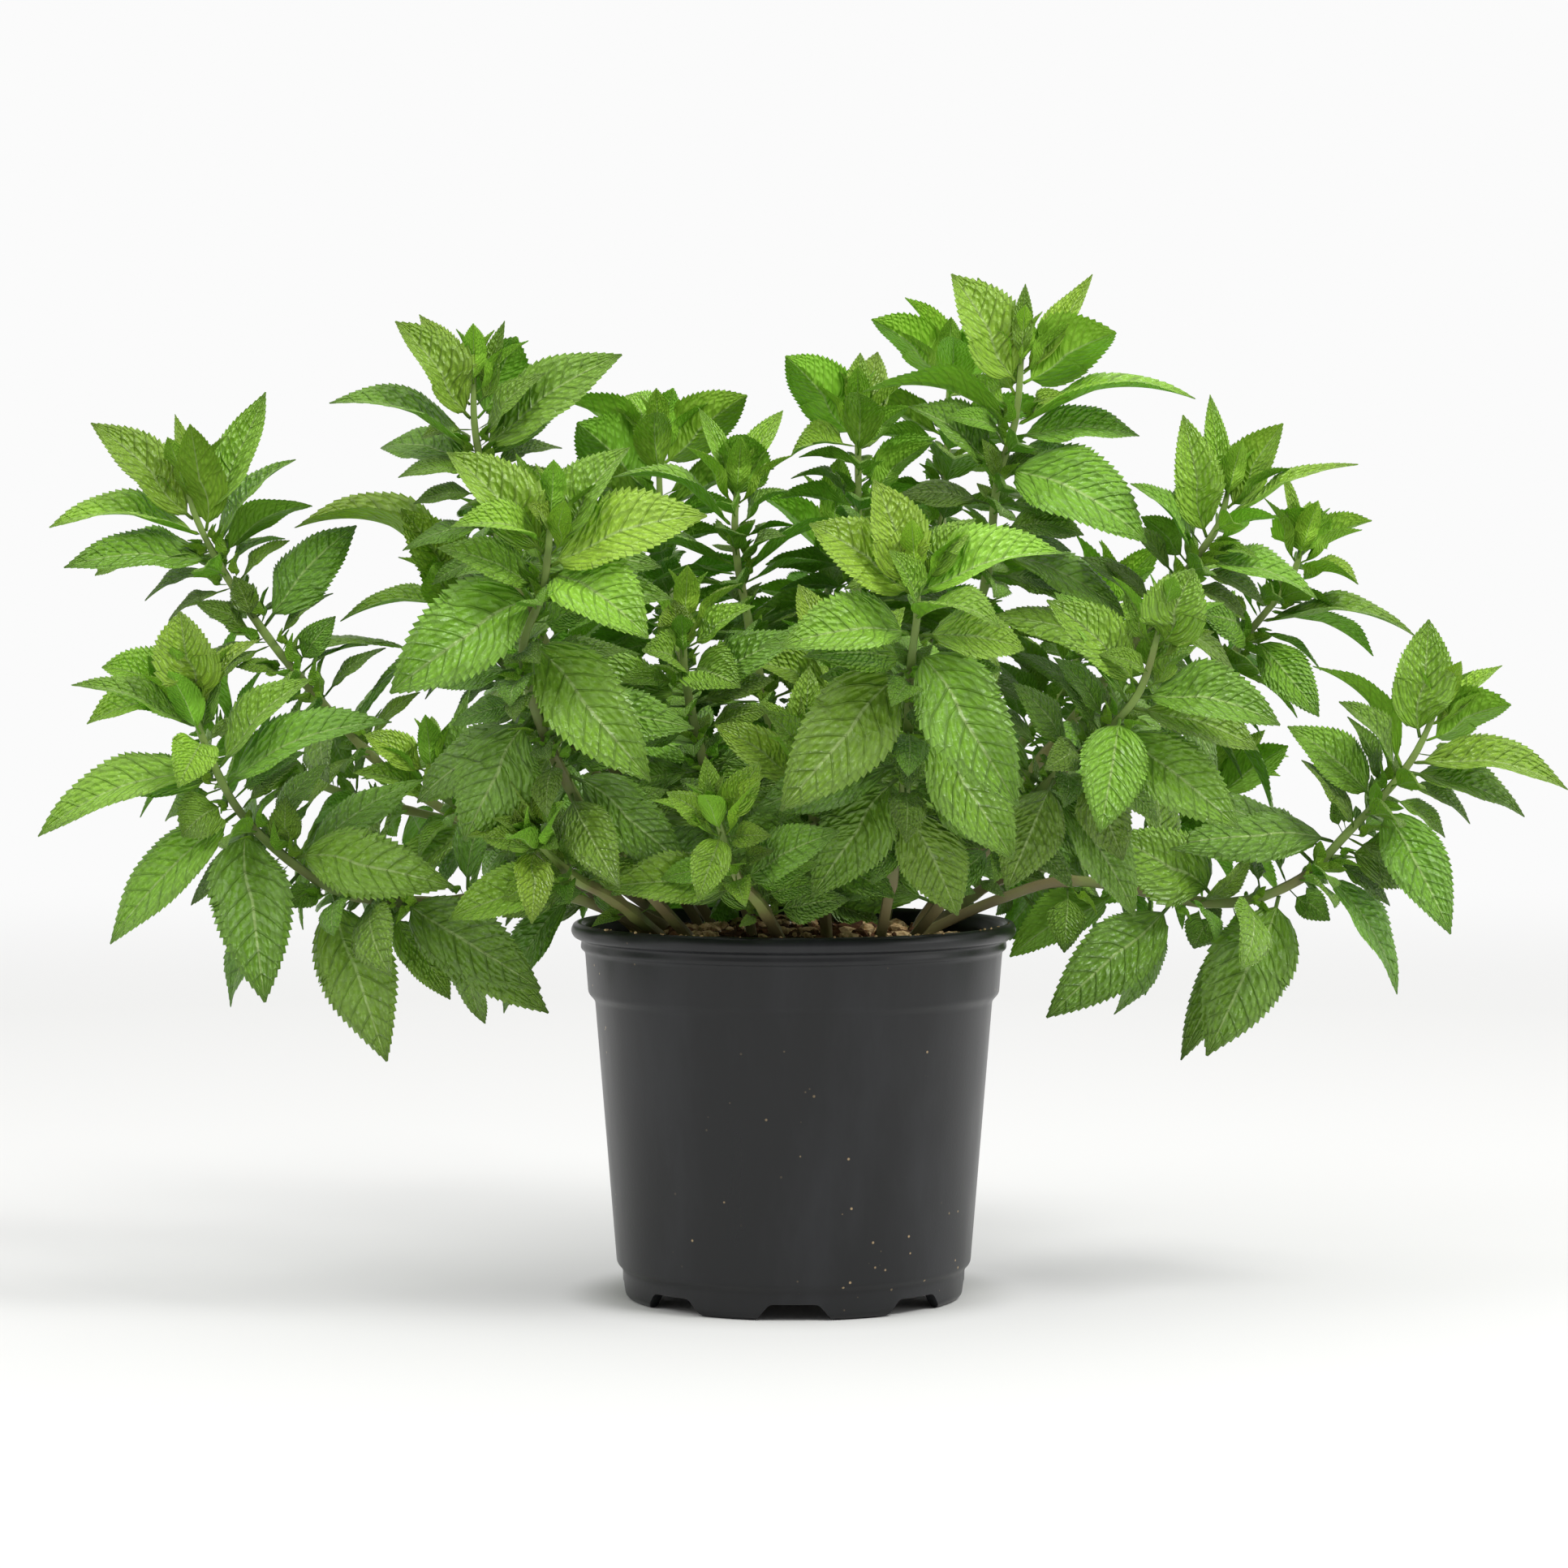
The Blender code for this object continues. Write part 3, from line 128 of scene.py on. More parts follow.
# Leaves with a place of their own, by stem: distance back from the stem's tip, the leaf tip's X, Y and Z,
# width, how far the upper side faces the front (+1) or the back (-1) rather than up (0), and how far the
# blade arches. Almost all of these rows were worked out by a separate script and pasted in; they are the
# frame's own list again, and don't follow from the sizes above.
LEAVES = {
    1: (
        (21, -277, 10, 285, 23, 0.3, 7), (32, -270, 0, 270, 23, 0.5, 5), (34, -179, 10, 293, 22, -0.3, 6),
        (63, -164, 24, 286, 26, 0.6, 6), (15, -262, 15, 324, 24, 0.5, 4), (17, -198, 25, 336, 20, 0.45, -3),
        (16, -223, 12, 323, 20, -0.9, 3), (13, -233, 28, 328, 9, 0.2, 2), (61, -223, 14, 257, 12, 0.6, 2),
        (60, -209, 15, 267, 12, 0.7, 2), (82, -171, 14, 252, 13, 0.8, 2), (84, -208, 12, 233, 11, 0.4, 2),
    ),
    2: (
        (1, -218, -65, 254, 26, 0.6, 4), (13, -256, -70, 228, 17, 0.4, 4), (1, -191, -55, 244, 15, 0.3, 3),
        (13, -221, -70, 233, 13, -0.7, 2), (16, -205, -60, 234, 16, 0.3, 2), (18, -217, -80, 192, 20, 0.9, 4),
        (30, -277, -65, 171, 26, 0.45, 8), (37, -142, -75, 215, 27, 0.5, 8), (53, -186, -85, 115, 33, 0.8, 6),
        (47, -246, -55, 134, 25, 0.6, 6), (44, -218, -52, 174, 22, 0.7, 4), (73, -120, -79, 157, 28, 0.75, 7),
        (92, -144, -78, 95, 32, 0.9, 6), (116, -90, -70, 120, 30, 0.85, 6), (116, -88, -55, 110, 26, 0.7, 5),
        (113, -124, -46, 114, 18, 0.6, 3), (69, -181, -64, 188, 14, 0.8, 2), (91, -181, -63, 149, 13, 0.6, 2),
    ),
    3: (
        (30, -170, -15, 330, 25, 0.3, 7), (30, -63, -10, 348, 30, 0.55, 5), (18, -146, -8, 360, 26, 0.5, 3),
        (13, -139, 10, 364, 16, 0.5, 2), (16, -102, -10, 355, 27, -0.8, 4), (13, -103, 6, 371, 13, 0.3, -2),
        (32, -155, 25, 315, 22, 0.5, 4), (33, -82, 20, 338, 22, 0.6, 4),
    ),
    4: (
        (16, -120, -105, 309, 27, 0.6, 4), (14, -117, -120, 283, 18, 0.35, 5),
        (12, -57, -97, 311, 22, 0.5, 3),
        (15, -97, -95, 309, 17, -0.4, 3), (15, -92, -108, 291, 13, 0.5, 2), (15, -78, -105, 293, 10, -0.5, 2),
        (18, -30, -112, 287, 34, 0.55, 6), (22, -50, -122, 245, 33, 0.6, 8),
        (32, -139, -115, 226, 36, 0.75, 7),
        (47, -43, -114, 188, 33, 0.85, 6), (75, -115, -97, 174, 34, 0.7, 5), (100, -37, -85, 163, 26, 0.7, 4),
        (40, -68, -105, 255, 14, 0.8, 2), (24, -118, -95, 266, 16, 0.4, 3),
    ),
    5: (
        (13, -18, 94, 338, 28, -0.6, 4), (9, -95, 95, 337, 22, -0.4, 5), (1, -47, 97, 341, 14, -0.5, 2),
        (0, -66, 110, 339, 18, 0.5, 2), (25, -84, 84, 327, 34, -0.8, 4),
    ),
    6: (
        (8, -18, 22, 320, 24, -1, 5), (7, -36, 35, 331, 10, 0.3, 2), (5, -4, 38, 330, 12, 0.4, 2),
        (17, -68, 25, 304, 18, 0.15, 8), (17, -1, 26, 299, 16, 0.3, 3), (28, -29, 16, 285, 18, 0.4, 3),
        (28, -3, 18, 282, 18, 0.4, 3),
    ),
    7: (
        (10, 5, -124, 284, 27, 0.65, 4), (8, 27, -116, 299, 24, 0.6, 3), (7, 62, -118, 286, 17, 0.5, 2),
        (11, 32, -128, 275, 15, 0.4, 2), (8, 91, -131, 274, 31, 0.6, 5), (13, 68, -166, 249, 20, 0.4, 6),
        (24, -5, -138, 242, 28, 0.6, 6), (37, -5, -130, 186, 35, 0.85, 6), (30, 76, -133, 188, 34, 0.85, 7),
        (56, 76, -104, 168, 30, 0.7, 5), (79, 6, -101, 155, 30, 0.75, 5), (87, 57, -96, 148, 28, 0.7, 4),
        (22, 79, -115, 241, 24, 0.6, 4), (36, -12, -116, 242, 22, 0.5, 4),
    ),
    8: (
        (12, 58, -3, 378, 30, 0.6, 3), (13, 68, -5, 377, 20, -0.5, 3), (13, 118, -12, 356, 30, -0.7, 5),
        (11, 111, 8, 379, 15, 0.3, -2), (10, 85, 4, 374, 9, 0.4, 1), (27, 25, -12, 334, 26, -0.15, 8),
        (26, 148, -5, 332, 30, 0.3, 9), (45, 42, -10, 329, 28, 0.5, 4), (47, 129, -18, 279, 38, 0.6, 10),
        (47, 69, -4, 317, 9, 0.6, 1), (47, 92, -4, 315, 9, 0.6, 1), (67, 107, -4, 282, 22, 0.5, 4),
    ),
    9: (
        (11, -3, 70, 352, 28, -0.6, 4), (2, 26, 83, 354, 12, 0.5, 2), (0, 33, 95, 355, 18, 0.3, 2),
        (11, 45, 76, 333, 14, -0.4, 2), (34, -1, 76, 305, 16, 0.15, 5), (15, -1, 88, 314, 20, 0.4, 4),
        (31, 54, 80, 319, 18, -0.5, 3),
    ),
    10: (
        (7, 31, 115, 369, 24, -0.5, 4), (5, 73, 115, 363, 24, -0.6, 3),
    ),
    11: (
        (22, 143, -8, 326, 21, 0.75, 3), (9, 154, 3, 334, 11, 0.4, 2), (9, 180, -6, 323, 20, -0.7, 3),
        (9, 208, -5, 308, 14, 0.2, 4), (21, 178, -12, 288, 13, -0.3, 4), (34, 129, 8, 289, 16, -0.5, 3),
    ),
    12: (
        (9, 138, -104, 269, 26, 0.8, 3), (10, 115, -98, 261, 12, 0.5, 2), (10, 145, -106, 247, 11, 0.4, 2),
        (15, 127, -106, 248, 11, -0.5, 2), (24, 87, -108, 258, 24, 0.6, 4), (19, 140, -95, 242, 16, 0.3, 2),
        (24, 167, -115, 215, 26, 0.55, 7), (37, 105, -117, 178, 27, 0.85, 5),
        (40, 154, -108, 179, 28, 0.8, 5),
        (70, 74, -95, 157, 26, 0.8, 5), (60, 115, -91, 167, 22, 0.7, 4),
    ),
    13: (
        (7, 200, 72, 294, 27, -0.9, 3), (7, 226, 90, 289, 20, -0.4, 3), (0, 190, 85, 310, 6, 0.3, 1),
        (16, 157, 70, 269, 20, 0.2, 5), (16, 218, 68, 264, 20, 0.2, 5), (35, 241, 74, 244, 20, 0.25, 8),
        (39, 165, 75, 258, 12, 0.5, 2), (43, 203, 68, 213, 22, 0.7, 4), (40, 157, 67, 252, 26, 0.7, 4),
    ),
    14: (
        (15, 232, -20, 251, 25, 0.5, 3), (15, 261, -28, 220, 24, -0.6, 4), (8, 261, -12, 234, 11, 0.4, 2),
        (28, 189, -25, 234, 19, -0.2, 8), (24, 282, -28, 189, 22, 0.45, 7), (44, 180, -25, 212, 24, 0.6, 4),
        (43, 238, -38, 137, 26, 0.75, 6), (65, 228, -12, 155, 24, 0.7, 4), (64, 134, -30, 168, 24, 0.6, 6),
        (62, 198, -22, 188, 8, 0.8, 1), (93, 149, -38, 91, 36, 0.85, 6), (99, 138, -15, 80, 20, 0.6, 4),
        (92, 196, -24, 141, 14, 0.8, 2), (132, 92, -31, 106, 29, 0.85, 5), (117, 116, -34, 173, 32, 0.8, 4),
        (153, 80, -8, 126, 24, -0.6, 4), (171, 99, -22, 129, 16, 0.9, 3), (132, 142, -22, 124, 10, 0.9, 2),
        (116, 147, -16, 130, 16, 0.7, 2),
    ),
    15: (
        (13, -43, -53, 258, 16, 0.7, 2), (13, -14, -54, 256, 15, 0.5, 2), (13, -40, -56, 253, 10, -0.5, 2),
        (16, -19, -65, 227, 24, 0.7, 4), (16, -54, -62, 240, 20, 0.6, 4),
    ),
    16: (
        (3, -44, -115, 192, 12, 0.8, 2), (3, -12, -109, 202, 14, 0.8, 2), (3, -33, -117, 155, 16, 0.9, 2),
        (3, -8, -115, 177, 11, 0.8, 2),
    ),
    17: (
        (1, -92, -99, 191, 13, 0.8, 2), (1, -108, -103, 175, 12, 0.7, 2), (1, -82, -104, 172, 10, 0.7, 2),
        (1, -91, -107, 146, 15, 0.9, 2),
    ),
    18: (
        (13, -161, -24, 195, 14, 0.5, 3), (5, -157, -22, 209, 15, 0.6, 3), (11, -133, -24, 199, 13, 0.7, 2),
    ),
    19: (
        (0, -268, 75, 232, 22, 0.6, 4), (0, -274, 75, 210, 20, 0.5, 4),
    ),
    20: (
        (0, -187, 20, 285, 27, 0.3, 13), (8, -146, 17, 292, 26, 0.6, 4), (5, -122, 12, 281, 16, -0.4, 3),
        (3, -171, 30, 250, 16, 0.3, 5),
    ),
}

# Share of a leaf's length, and its half width there against the widest, in the plain skin that keeps
# leaves apart
SMALL_BLADE = ((0.40, 1.0),)
MIDDLE_BLADE = ((0.14, 0.12), (0.44, 1.0))
LARGE_BLADE = ((0.12, 0.10), (0.36, 0.96), (0.70, 0.74))
# What a leaf tries, in turn, until it is clear of the rest: nearer or farther, turned about its
# midrib, shorter
PLACED_TRIES = (
    (0, 0, 1.0), (-4, 0, 1.0), (4, 0, 1.0), (0, 15, 1.0), (0, -15, 1.0), (-8, 0, 1.0), (8, 0, 1.0),
    (-12, 0, 1.0),
    (12, 0, 1.0), (-6, 25, 1.0), (6, -25, 1.0), (0, 35, 0.95), (0, -35, 0.95), (-16, 0, 0.95), (16, 0, 0.95),
    (0, 0, 0.88), (-9, 15, 0.85), (9, -15, 0.85), (-18, 25, 0.85), (18, -25, 0.85), (0, 40, 0.75),
    (-10, -30, 0.75), (12, 20, 0.7), (0, 0, 0.65), (-8, 20, 0.55), (8, -20, 0.5), (0, 0, 0.4),
)
LOOSE_TRIES = (
    (0, 0, 1.0), (14, 0, 1.0), (-14, 0, 1.0), (0, 12, 1.0), (0, -12, 1.0), (26, 10, 0.9), (-26, 10, 0.9),
    (0, 20, 0.8), (20, -14, 0.8), (-20, -14, 0.8), (0, 0, 0.68), (30, 15, 0.6), (-30, 15, 0.6), (0, -15, 0.5),
)


# ---------------------------------------------------------------- small tools


def linear(code: str, alpha: float = 1.0) -> tuple[float, float, float, float]:
    """Turns an sRGB hex colour to linear light.

    Args:
        code: the colour as "#rrggbb".
        alpha: the fourth value.

    Returns:
        The colour as four linear values.
    """
    parts = [int(code[i:i + 2], 16) / 255 for i in (1, 3, 5)]
    light = [p / 12.92 if p <= 0.04045 else ((p + 0.055) / 1.055) ** 2.4 for p in parts]
    return (light[0], light[1], light[2], alpha)


def add_node(
    tree: bpy.types.NodeTree, kind: str, settings: dict[str, Any], inputs: dict[Any, Any]
) -> bpy.types.Node:
    """Adds one node with its settings, values and links.

    Args:
        tree: the node tree it goes in.
        kind: the node's type name.
        settings: its properties by name.
        inputs: by name or number, the value of an input or the socket that feeds it.

    Returns:
        The new node.
    """
    node = tree.nodes.new(kind)
    for name, value in settings.items():
        setattr(node, name, value)
    for key, value in inputs.items():
        if isinstance(value, bpy.types.NodeSocket):
            tree.links.new(value, node.inputs[key])
        else:
            node.inputs[key].default_value = value
    return node


def new_material(name: str) -> tuple[bpy.types.Material, bpy.types.NodeTree]:
    """Makes an empty node material and returns it with its tree."""
    material = bpy.data.materials.new(name)
    material.use_nodes = True
    material.node_tree.nodes.clear()
    return material, material.node_tree


def link_object(name: str, mesh: bpy.types.Mesh) -> bpy.types.Object:
    """Puts a mesh in the scene as an object at the origin and returns it."""
    obj = bpy.data.objects.new(name, mesh)
    bpy.context.scene.collection.objects.link(obj)
    return obj


def smooth_shade(mesh: bpy.types.Mesh, angle: float) -> None:
    """Shades a mesh smooth, with edges sharper than angle degrees kept."""
    mesh.polygons.foreach_set("use_smooth", [True] * len(mesh.polygons))
    mesh.set_sharp_from_angle(angle=math.radians(angle))


def tree_of(points: Places, faces: Faces) -> Tree:
    """Makes a search tree of a skin, with the box around its points."""
    low = Vector([min(p[k] for p in points) for k in range(3)])
    high = Vector([max(p[k] for p in points) for k in range(3)])
    return BVHTree.FromPolygons([tuple(p) for p in points], faces), low, high


def apart(low: Vector, high: Vector, other_low: Vector, other_high: Vector) -> bool:
    """Tells whether two boxes miss each other."""
    return any(low[k] > other_high[k] or high[k] < other_low[k] for k in range(3))


def before_pot(place: Vector) -> bool:
    """Tells whether a place is where the pot's rim and its soil are seen from the front."""
    wide, high = BARE_FRONT
    return place.y < 0 and abs(place.x) < wide * MM and place.z < high * MM


def smooth_line(places: Places, steps: int = 10) -> Places:
    """Draws a Catmull-Rom line through places.

    Args:
        places: what the line goes through.
        steps: how many points each span gets.

    Returns:
        The line's points.
    """
    knots = [places[0], *places, places[-1]]
    line = []
    for before, start, end, after in zip(knots, knots[1:], knots[2:], knots[3:]):
        for i in range(steps):
            t = i / steps
            line.append(
                0.5 * (2 * start + (end - before) * t + (2 * before - 5 * start + 4 * end - after) * t * t
                       + (3 * start - before - 3 * end + after) * t ** 3)
            )
    line.append(places[-1])
    return line


def soil_height(x: float, y: float) -> float:
    """Height of the soil's mound at x and y, all in millimetres."""
    share = min(1.0, math.hypot(x, y) / SOIL_RADIUS)
    return SOIL_EDGE + SOIL_RISE * (1 - share * share)


# ---------------------------------------------------------------- where stems and leaves stand


@dataclass
class Blade:
    """One leaf's line: where it starts on its stem, where its tip is, and which way its upper side looks."""

    root: Vector
    out: Vector
    tip: Vector
    hint: Vector
    width: float
    arch: float
    joint: float
    side: int
    turn: float = 0.0
    young: Optional[float] = None

    def __post_init__(self) -> None:
        """Works out the leaf's length, direction and normal."""
        chord = self.tip - self.root
        self.length = chord.length
        self.along = chord.normalized()
        level = self.hint - self.along * self.hint.dot(self.along)
        if level.length < 0.05:
            level = self.out - self.along * self.out.dot(self.along)
        if level.length < 0.05:
            level = self.along.orthogonal()
        self.normal = level.normalized()
        side = self.normal.cross(self.along)
        angle = math.radians(self.turn)
        self.normal = self.normal * math.cos(angle) + side * math.sin(angle)

    def centre(self, t: float) -> Vector:
        """The midrib's place at share t of the length."""
        bulge = 2.2 * MM * math.sin(math.pi * min(1.0, 2.2 * t))
        straight = self.root + (self.tip - self.root) * t
        return straight + self.normal * (4 * self.arch * t * (1 - t)) + self.out * bulge

    def stations(self) -> tuple[tuple[float, float], ...]:
        """The plain skin's rings for a leaf of this length."""
        if self.length > 42 * MM:
            return LARGE_BLADE
        return MIDDLE_BLADE if self.length > 27 * MM else SMALL_BLADE

    def ring(self, t: float, share: float, fat: float) -> Places:
        """Four points of the plain skin: one edge, the back of the midrib, the other edge, the midrib."""
        ahead = (self.centre(min(1.0, t + 0.04)) - self.centre(t - 0.04)).normalized()
        normal = (self.normal - ahead * self.normal.dot(ahead)).normalized()
        side = normal.cross(ahead)
        half = max(0.7 * MM, 0.5 * self.width * share) + 0.5 * fat
        thick = 0.5 * LEAF_THICK * MM + fat
        lift = normal * (0.16 * half)
        middle = self.centre(t)
        return [
            middle - side * half + lift, middle - normal * thick, middle + side * half + lift,
            middle + normal * thick,
        ]


def turned_to(root: Places, ring: Places) -> Places:
    """Starts a ring at the point that follows the root's first corner with the least twist."""
    middle = sum(root, Vector()) / 4
    centre = sum(ring, Vector()) / 4

    def strain(k: int) -> float:
        """How far the ring lies from the root when it starts at its point k."""
        return sum(((root[i] - middle) - (ring[(i + k) % 4] - centre)).length for i in range(4))

    best = min(range(4), key=strain)
    return [ring[(i + best) % 4] for i in range(4)]


class Stem:
    """A square stem from its tip down to the soil, with the joints that its leaves grow from."""

    def __init__(self, number: int, places: Iterable[tuple[float, float, float]]) -> None:
        """Lays the stem through its places, given in millimetres from the soil to the tip."""
        self.number = number
        line = [Vector(place) * MM for place in places]
        foot = line[0]
        foot.z = soil_height(foot.x / MM, foot.y / MM) * MM + GAP * MM
        self.line = smooth_line(line)[::-1]
        self.reach = [0.0]
        for a, b in zip(self.line, self.line[1:]):
            self.reach.append(self.reach[-1] + (b - a).length)
        self.length = self.reach[-1]
        self.joints: dict[float, dict[int, bool]] = {}
        self.sides: Places = []
        turn = math.radians(0 if number <= 20 else 37 * number)
        side = Vector((math.cos(turn), math.sin(turn), 0))
        for i in range(len(self.line)):
            up = self.heading(i)
            side = (side - up * side.dot(up)).normalized()
            self.sides.append(side.copy())

    def heading(self, i: int) -> Vector:
        """Direction towards the tip at point i of the line."""
        a = self.line[max(0, i - 1)]
        b = self.line[min(len(self.line) - 1, i + 1)]
        return (a - b).normalized()

    def at(self, s: float) -> tuple[Vector, Vector, Vector]:
        """Place, direction towards the tip, and the first side's direction at s from the tip."""
        s = max(0.0, min(self.length, s))
        i = max(k for k in range(len(self.reach)) if self.reach[k] <= s + 1e-9)
        if i == len(self.line) - 1:
            return self.line[i], self.heading(i), self.sides[i]
        t = (s - self.reach[i]) / (self.reach[i + 1] - self.reach[i])
        up = self.heading(i).lerp(self.heading(i + 1), t).normalized()
        side = self.sides[i].lerp(self.sides[i + 1], t)
        side = (side - up * side.dot(up)).normalized()
        return self.line[i].lerp(self.line[i + 1], t), up, side

    def half(self, s: float) -> float:
        """Half the stem's side at s from the tip, in metres."""
        return (STEM_TIP + (STEM_THICK - STEM_TIP) * min(1.0, s / self.length * 1.4)) * MM

    def ways(self, s: float) -> tuple[Vector, Vector, tuple[Vector, ...]]:
        """Place, direction towards the tip, and the four directions that the sides look in."""
        point, up, side = self.at(s)
        other = up.cross(side)
        return point, up, (side, other, -side, -other)

    def seat(self, s: float, toward: Vector) -> Optional[tuple[float, int]]:
        """Finds the joint and side nearest to s that a leaf heading toward can grow from."""
        lowest = 0.5 * NODE_HEIGHT * MM + 0.5 * MM
        for step in (0, 1, -1, 2, -2, 3, -3, 4, -4, 5, -5, 6, -6, 7, -7, 8):
            at = min(max(s + step * 1.7 * MM, lowest), self.length - 8 * MM)
            near = [joint for joint in self.joints if abs(joint - at) < NODE_GAP * MM]
            if len(near) > 1:
                continue
            if near:
                at = near[0]
            used = self.joints.get(at, {})
            _, _, ways = self.ways(at)
            free = [
                k for k in range(4) if k not in used and (k + 1) % 4 not in used and (k - 1) % 4 not in used
            ]
            free = [k for k in free if ways[k].dot(toward) > 0.12]
            if free:
                return at, max(free, key=lambda k: ways[k].dot(toward))
        return None

    def skin(self, fat: float) -> tuple[Places, Faces]:
        """Points and faces of the plain square stem, made fatter."""
        parts = max(1, math.ceil(self.length / (26 * MM)))
        points: Places = []
        faces: Faces = []
        for i in range(parts + 1):
            s = self.length * (1 - i / parts)
            point, _, ways = self.ways(s)
            for k in range(4):
                corner = (ways[k] + ways[k - 1]) * self.half(s)
                points.append(point + corner + corner.normalized() * fat)
            if i:
                first = 4 * (i - 1)
                faces.extend(
                    [first + k, first + (k + 1) % 4, first + 4 + (k + 1) % 4, first + 4 + k] for k in range(4)
                )
        return points, faces


@dataclass
class Growth:
    """All stems and leaves, each leaf clear of everything that was placed before it."""

    solids: list[Tree]
    stems: dict[int, Stem] = field(default_factory=dict)
    leaves: list[tuple[Stem, Blade]] = field(default_factory=list)
    trees: list[Tree] = field(default_factory=list)

    def __post_init__(self) -> None:
        """Lays the stems and makes their search trees."""
        self.stems = {number: Stem(number, places) for number, places in STEMS.items()}
        self.stem_trees = {
            number: tree_of(*stem.skin(0.5 * CLEARANCE * MM)) for number, stem in self.stems.items()
        }

    def skin(self, stem: Stem, blade: Blade, fat: float) -> tuple[Places, Faces]:
        """Points and faces of a leaf's plain skin, from the stem's whole side."""
        half = stem.half(blade.joint)
        _, up, _ = stem.at(blade.joint)
        across = up.cross(blade.out) * half
        rise = up * (0.5 * NODE_HEIGHT * MM)
        points = [
            blade.root - across - rise, blade.root + across - rise, blade.root + across + rise,
            blade.root - across + rise,
        ]
        faces: Faces = []
        root = [0, 1, 2, 3]
        for t, share in blade.stations():
            first = len(points)
            points.extend(turned_to([points[i] for i in root], blade.ring(t, share, fat)))
            ends = [first + i for i in range(4)]
            faces.extend([root[i], root[(i + 1) % 4], ends[(i + 1) % 4], ends[i]] for i in range(4))
            root = ends
        points.append(blade.tip)
        faces.extend([root[i], root[(i + 1) % 4], len(points) - 1] for i in range(4))
        return points, faces

    def clear(self, stem: Stem, blade: Blade, room: float = CLEARANCE) -> Optional[Tree]:
        """Gives the leaf's search tree when it touches nothing.

        Args:
            stem: what it grows from.
            blade: the leaf.
            room: how far it stays from the rest, in millimetres.

        Returns:
            The tree with its box, or None where the leaf meets something.
        """
        points, faces = self.skin(stem, blade, room * MM)
        tree, low, high = tree_of(points, faces)
        for other, other_low, other_high in self.solids:
            if not apart(low, high, other_low, other_high) and tree.overlap(other):
                return None
        for number, (other, other_low, other_high) in self.stem_trees.items():
            if apart(low, high, other_low, other_high):
                continue
            if number == stem.number:
                beyond = [face for face in faces if min(face) >= 4]
                if BVHTree.FromPolygons([tuple(p) for p in points], beyond).overlap(other):
                    return None
            elif tree.overlap(other):
                return None
        for other, other_low, other_high in self.trees:
            if not apart(low, high, other_low, other_high) and tree.overlap(other):
                return None
        return tree, low, high

    def add(self, stem: Stem, blade: Blade, found: Tree) -> None:
        """Keeps a leaf and its search tree."""
        stem.joints.setdefault(blade.joint, {})[blade.side] = True
        self.leaves.append((stem, blade))
        self.trees.append(found)

    def place(self, stem: Stem, s: float, tip: Vector, width: float, facing: float, arch: float) -> bool:
        """Places a leaf whose tip is known.

        Args:
            stem: what it grows from.
            s: distance of its joint from the stem's tip, in metres.
            tip: where the leaf ends.
            width: its width in millimetres.
            facing: how far its upper side looks to the front (+1) or back (-1) and not up.
            arch: how far it arches, in millimetres.

        Returns:
            Whether it found room.
        """
        for nearer, turn, scale in PLACED_TRIES:
            goal = tip + Vector((0, nearer * MM, 0))
            start, _, _ = stem.at(s)
            seat = stem.seat(s, (goal - start).normalized())
            if seat is None:
                continue
            joint, side = seat
            point, _, ways = stem.ways(joint)
            root = point + ways[side] * (stem.half(joint) + GAP * MM)
            reach = goal - root
            length = min(reach.length * scale, LONGEST_LEAF * MM)
            hint = UP * (1 - abs(facing)) + FRONT * facing
            goal = root + reach.normalized() * length
            blade = Blade(
                root, ways[side], goal, hint, width * scale * MM, arch * scale * MM, joint, side, turn
            )
            found = self.clear(stem, blade)
            if found:
                self.add(stem, blade, found)
                return True
        return False

    def grow(
        self, stem: Stem, s: float, side: int, length: float, lift: float, shortest: float = SHORTEST_LOOSE,
        room: float = CLEARANCE,
    ) -> bool:
        """Places a leaf that grows from a side of the stem.

        Args:
            stem: what it grows from.
            s: distance of its joint from the stem's tip, in metres.
            side: which of the four sides.
            length: its length in millimetres.
            lift: its angle from the stem's direction, in degrees.
            shortest: the least length worth a leaf, in millimetres.
            room: how far it stays from the rest, in millimetres.

        Returns:
            Whether it found room.
        """
        for turn, more, scale in LOOSE_TRIES:
            _, up, ways = stem.ways(s)
            way = ways[side] * math.cos(math.radians(turn)) + up.cross(ways[side]) * math.sin(
                math.radians(turn)
            )
            rise = math.radians(lift + more)
            toward = way * math.sin(rise) + up * math.cos(rise)
            toward.z -= 0.1 + DROOP * min(100.0, s / MM)
            toward.normalize()
            seat = stem.seat(s, way)
            if seat is None:
                return False
            joint, found_side = seat
            point, _, found_ways = stem.ways(joint)
            root = point + found_ways[found_side] * (stem.half(joint) + GAP * MM)
            reach = length * scale * MM
            if reach < shortest * MM:
                return False
            goal = root + toward * reach
            if goal.y > PLANT_DEPTH * MM or before_pot(goal):
                continue
            outward = Vector((point.x, point.y, 0)).normalized()
            to_front = max(0.0, min(1.0, (90 * MM - point.y) / (90 * MM)))
            hint = up * 0.4 + UP * 0.5 + outward * 0.7 + FRONT * (0.9 * to_front)
            blade = Blade(
                root, found_ways[found_side], goal, hint, 0.47 * reach, 0.1 * reach, joint, found_side,
            )
            found = self.clear(stem, blade, room)
            if found:
                self.add(stem, blade, found)
                return True
        return False

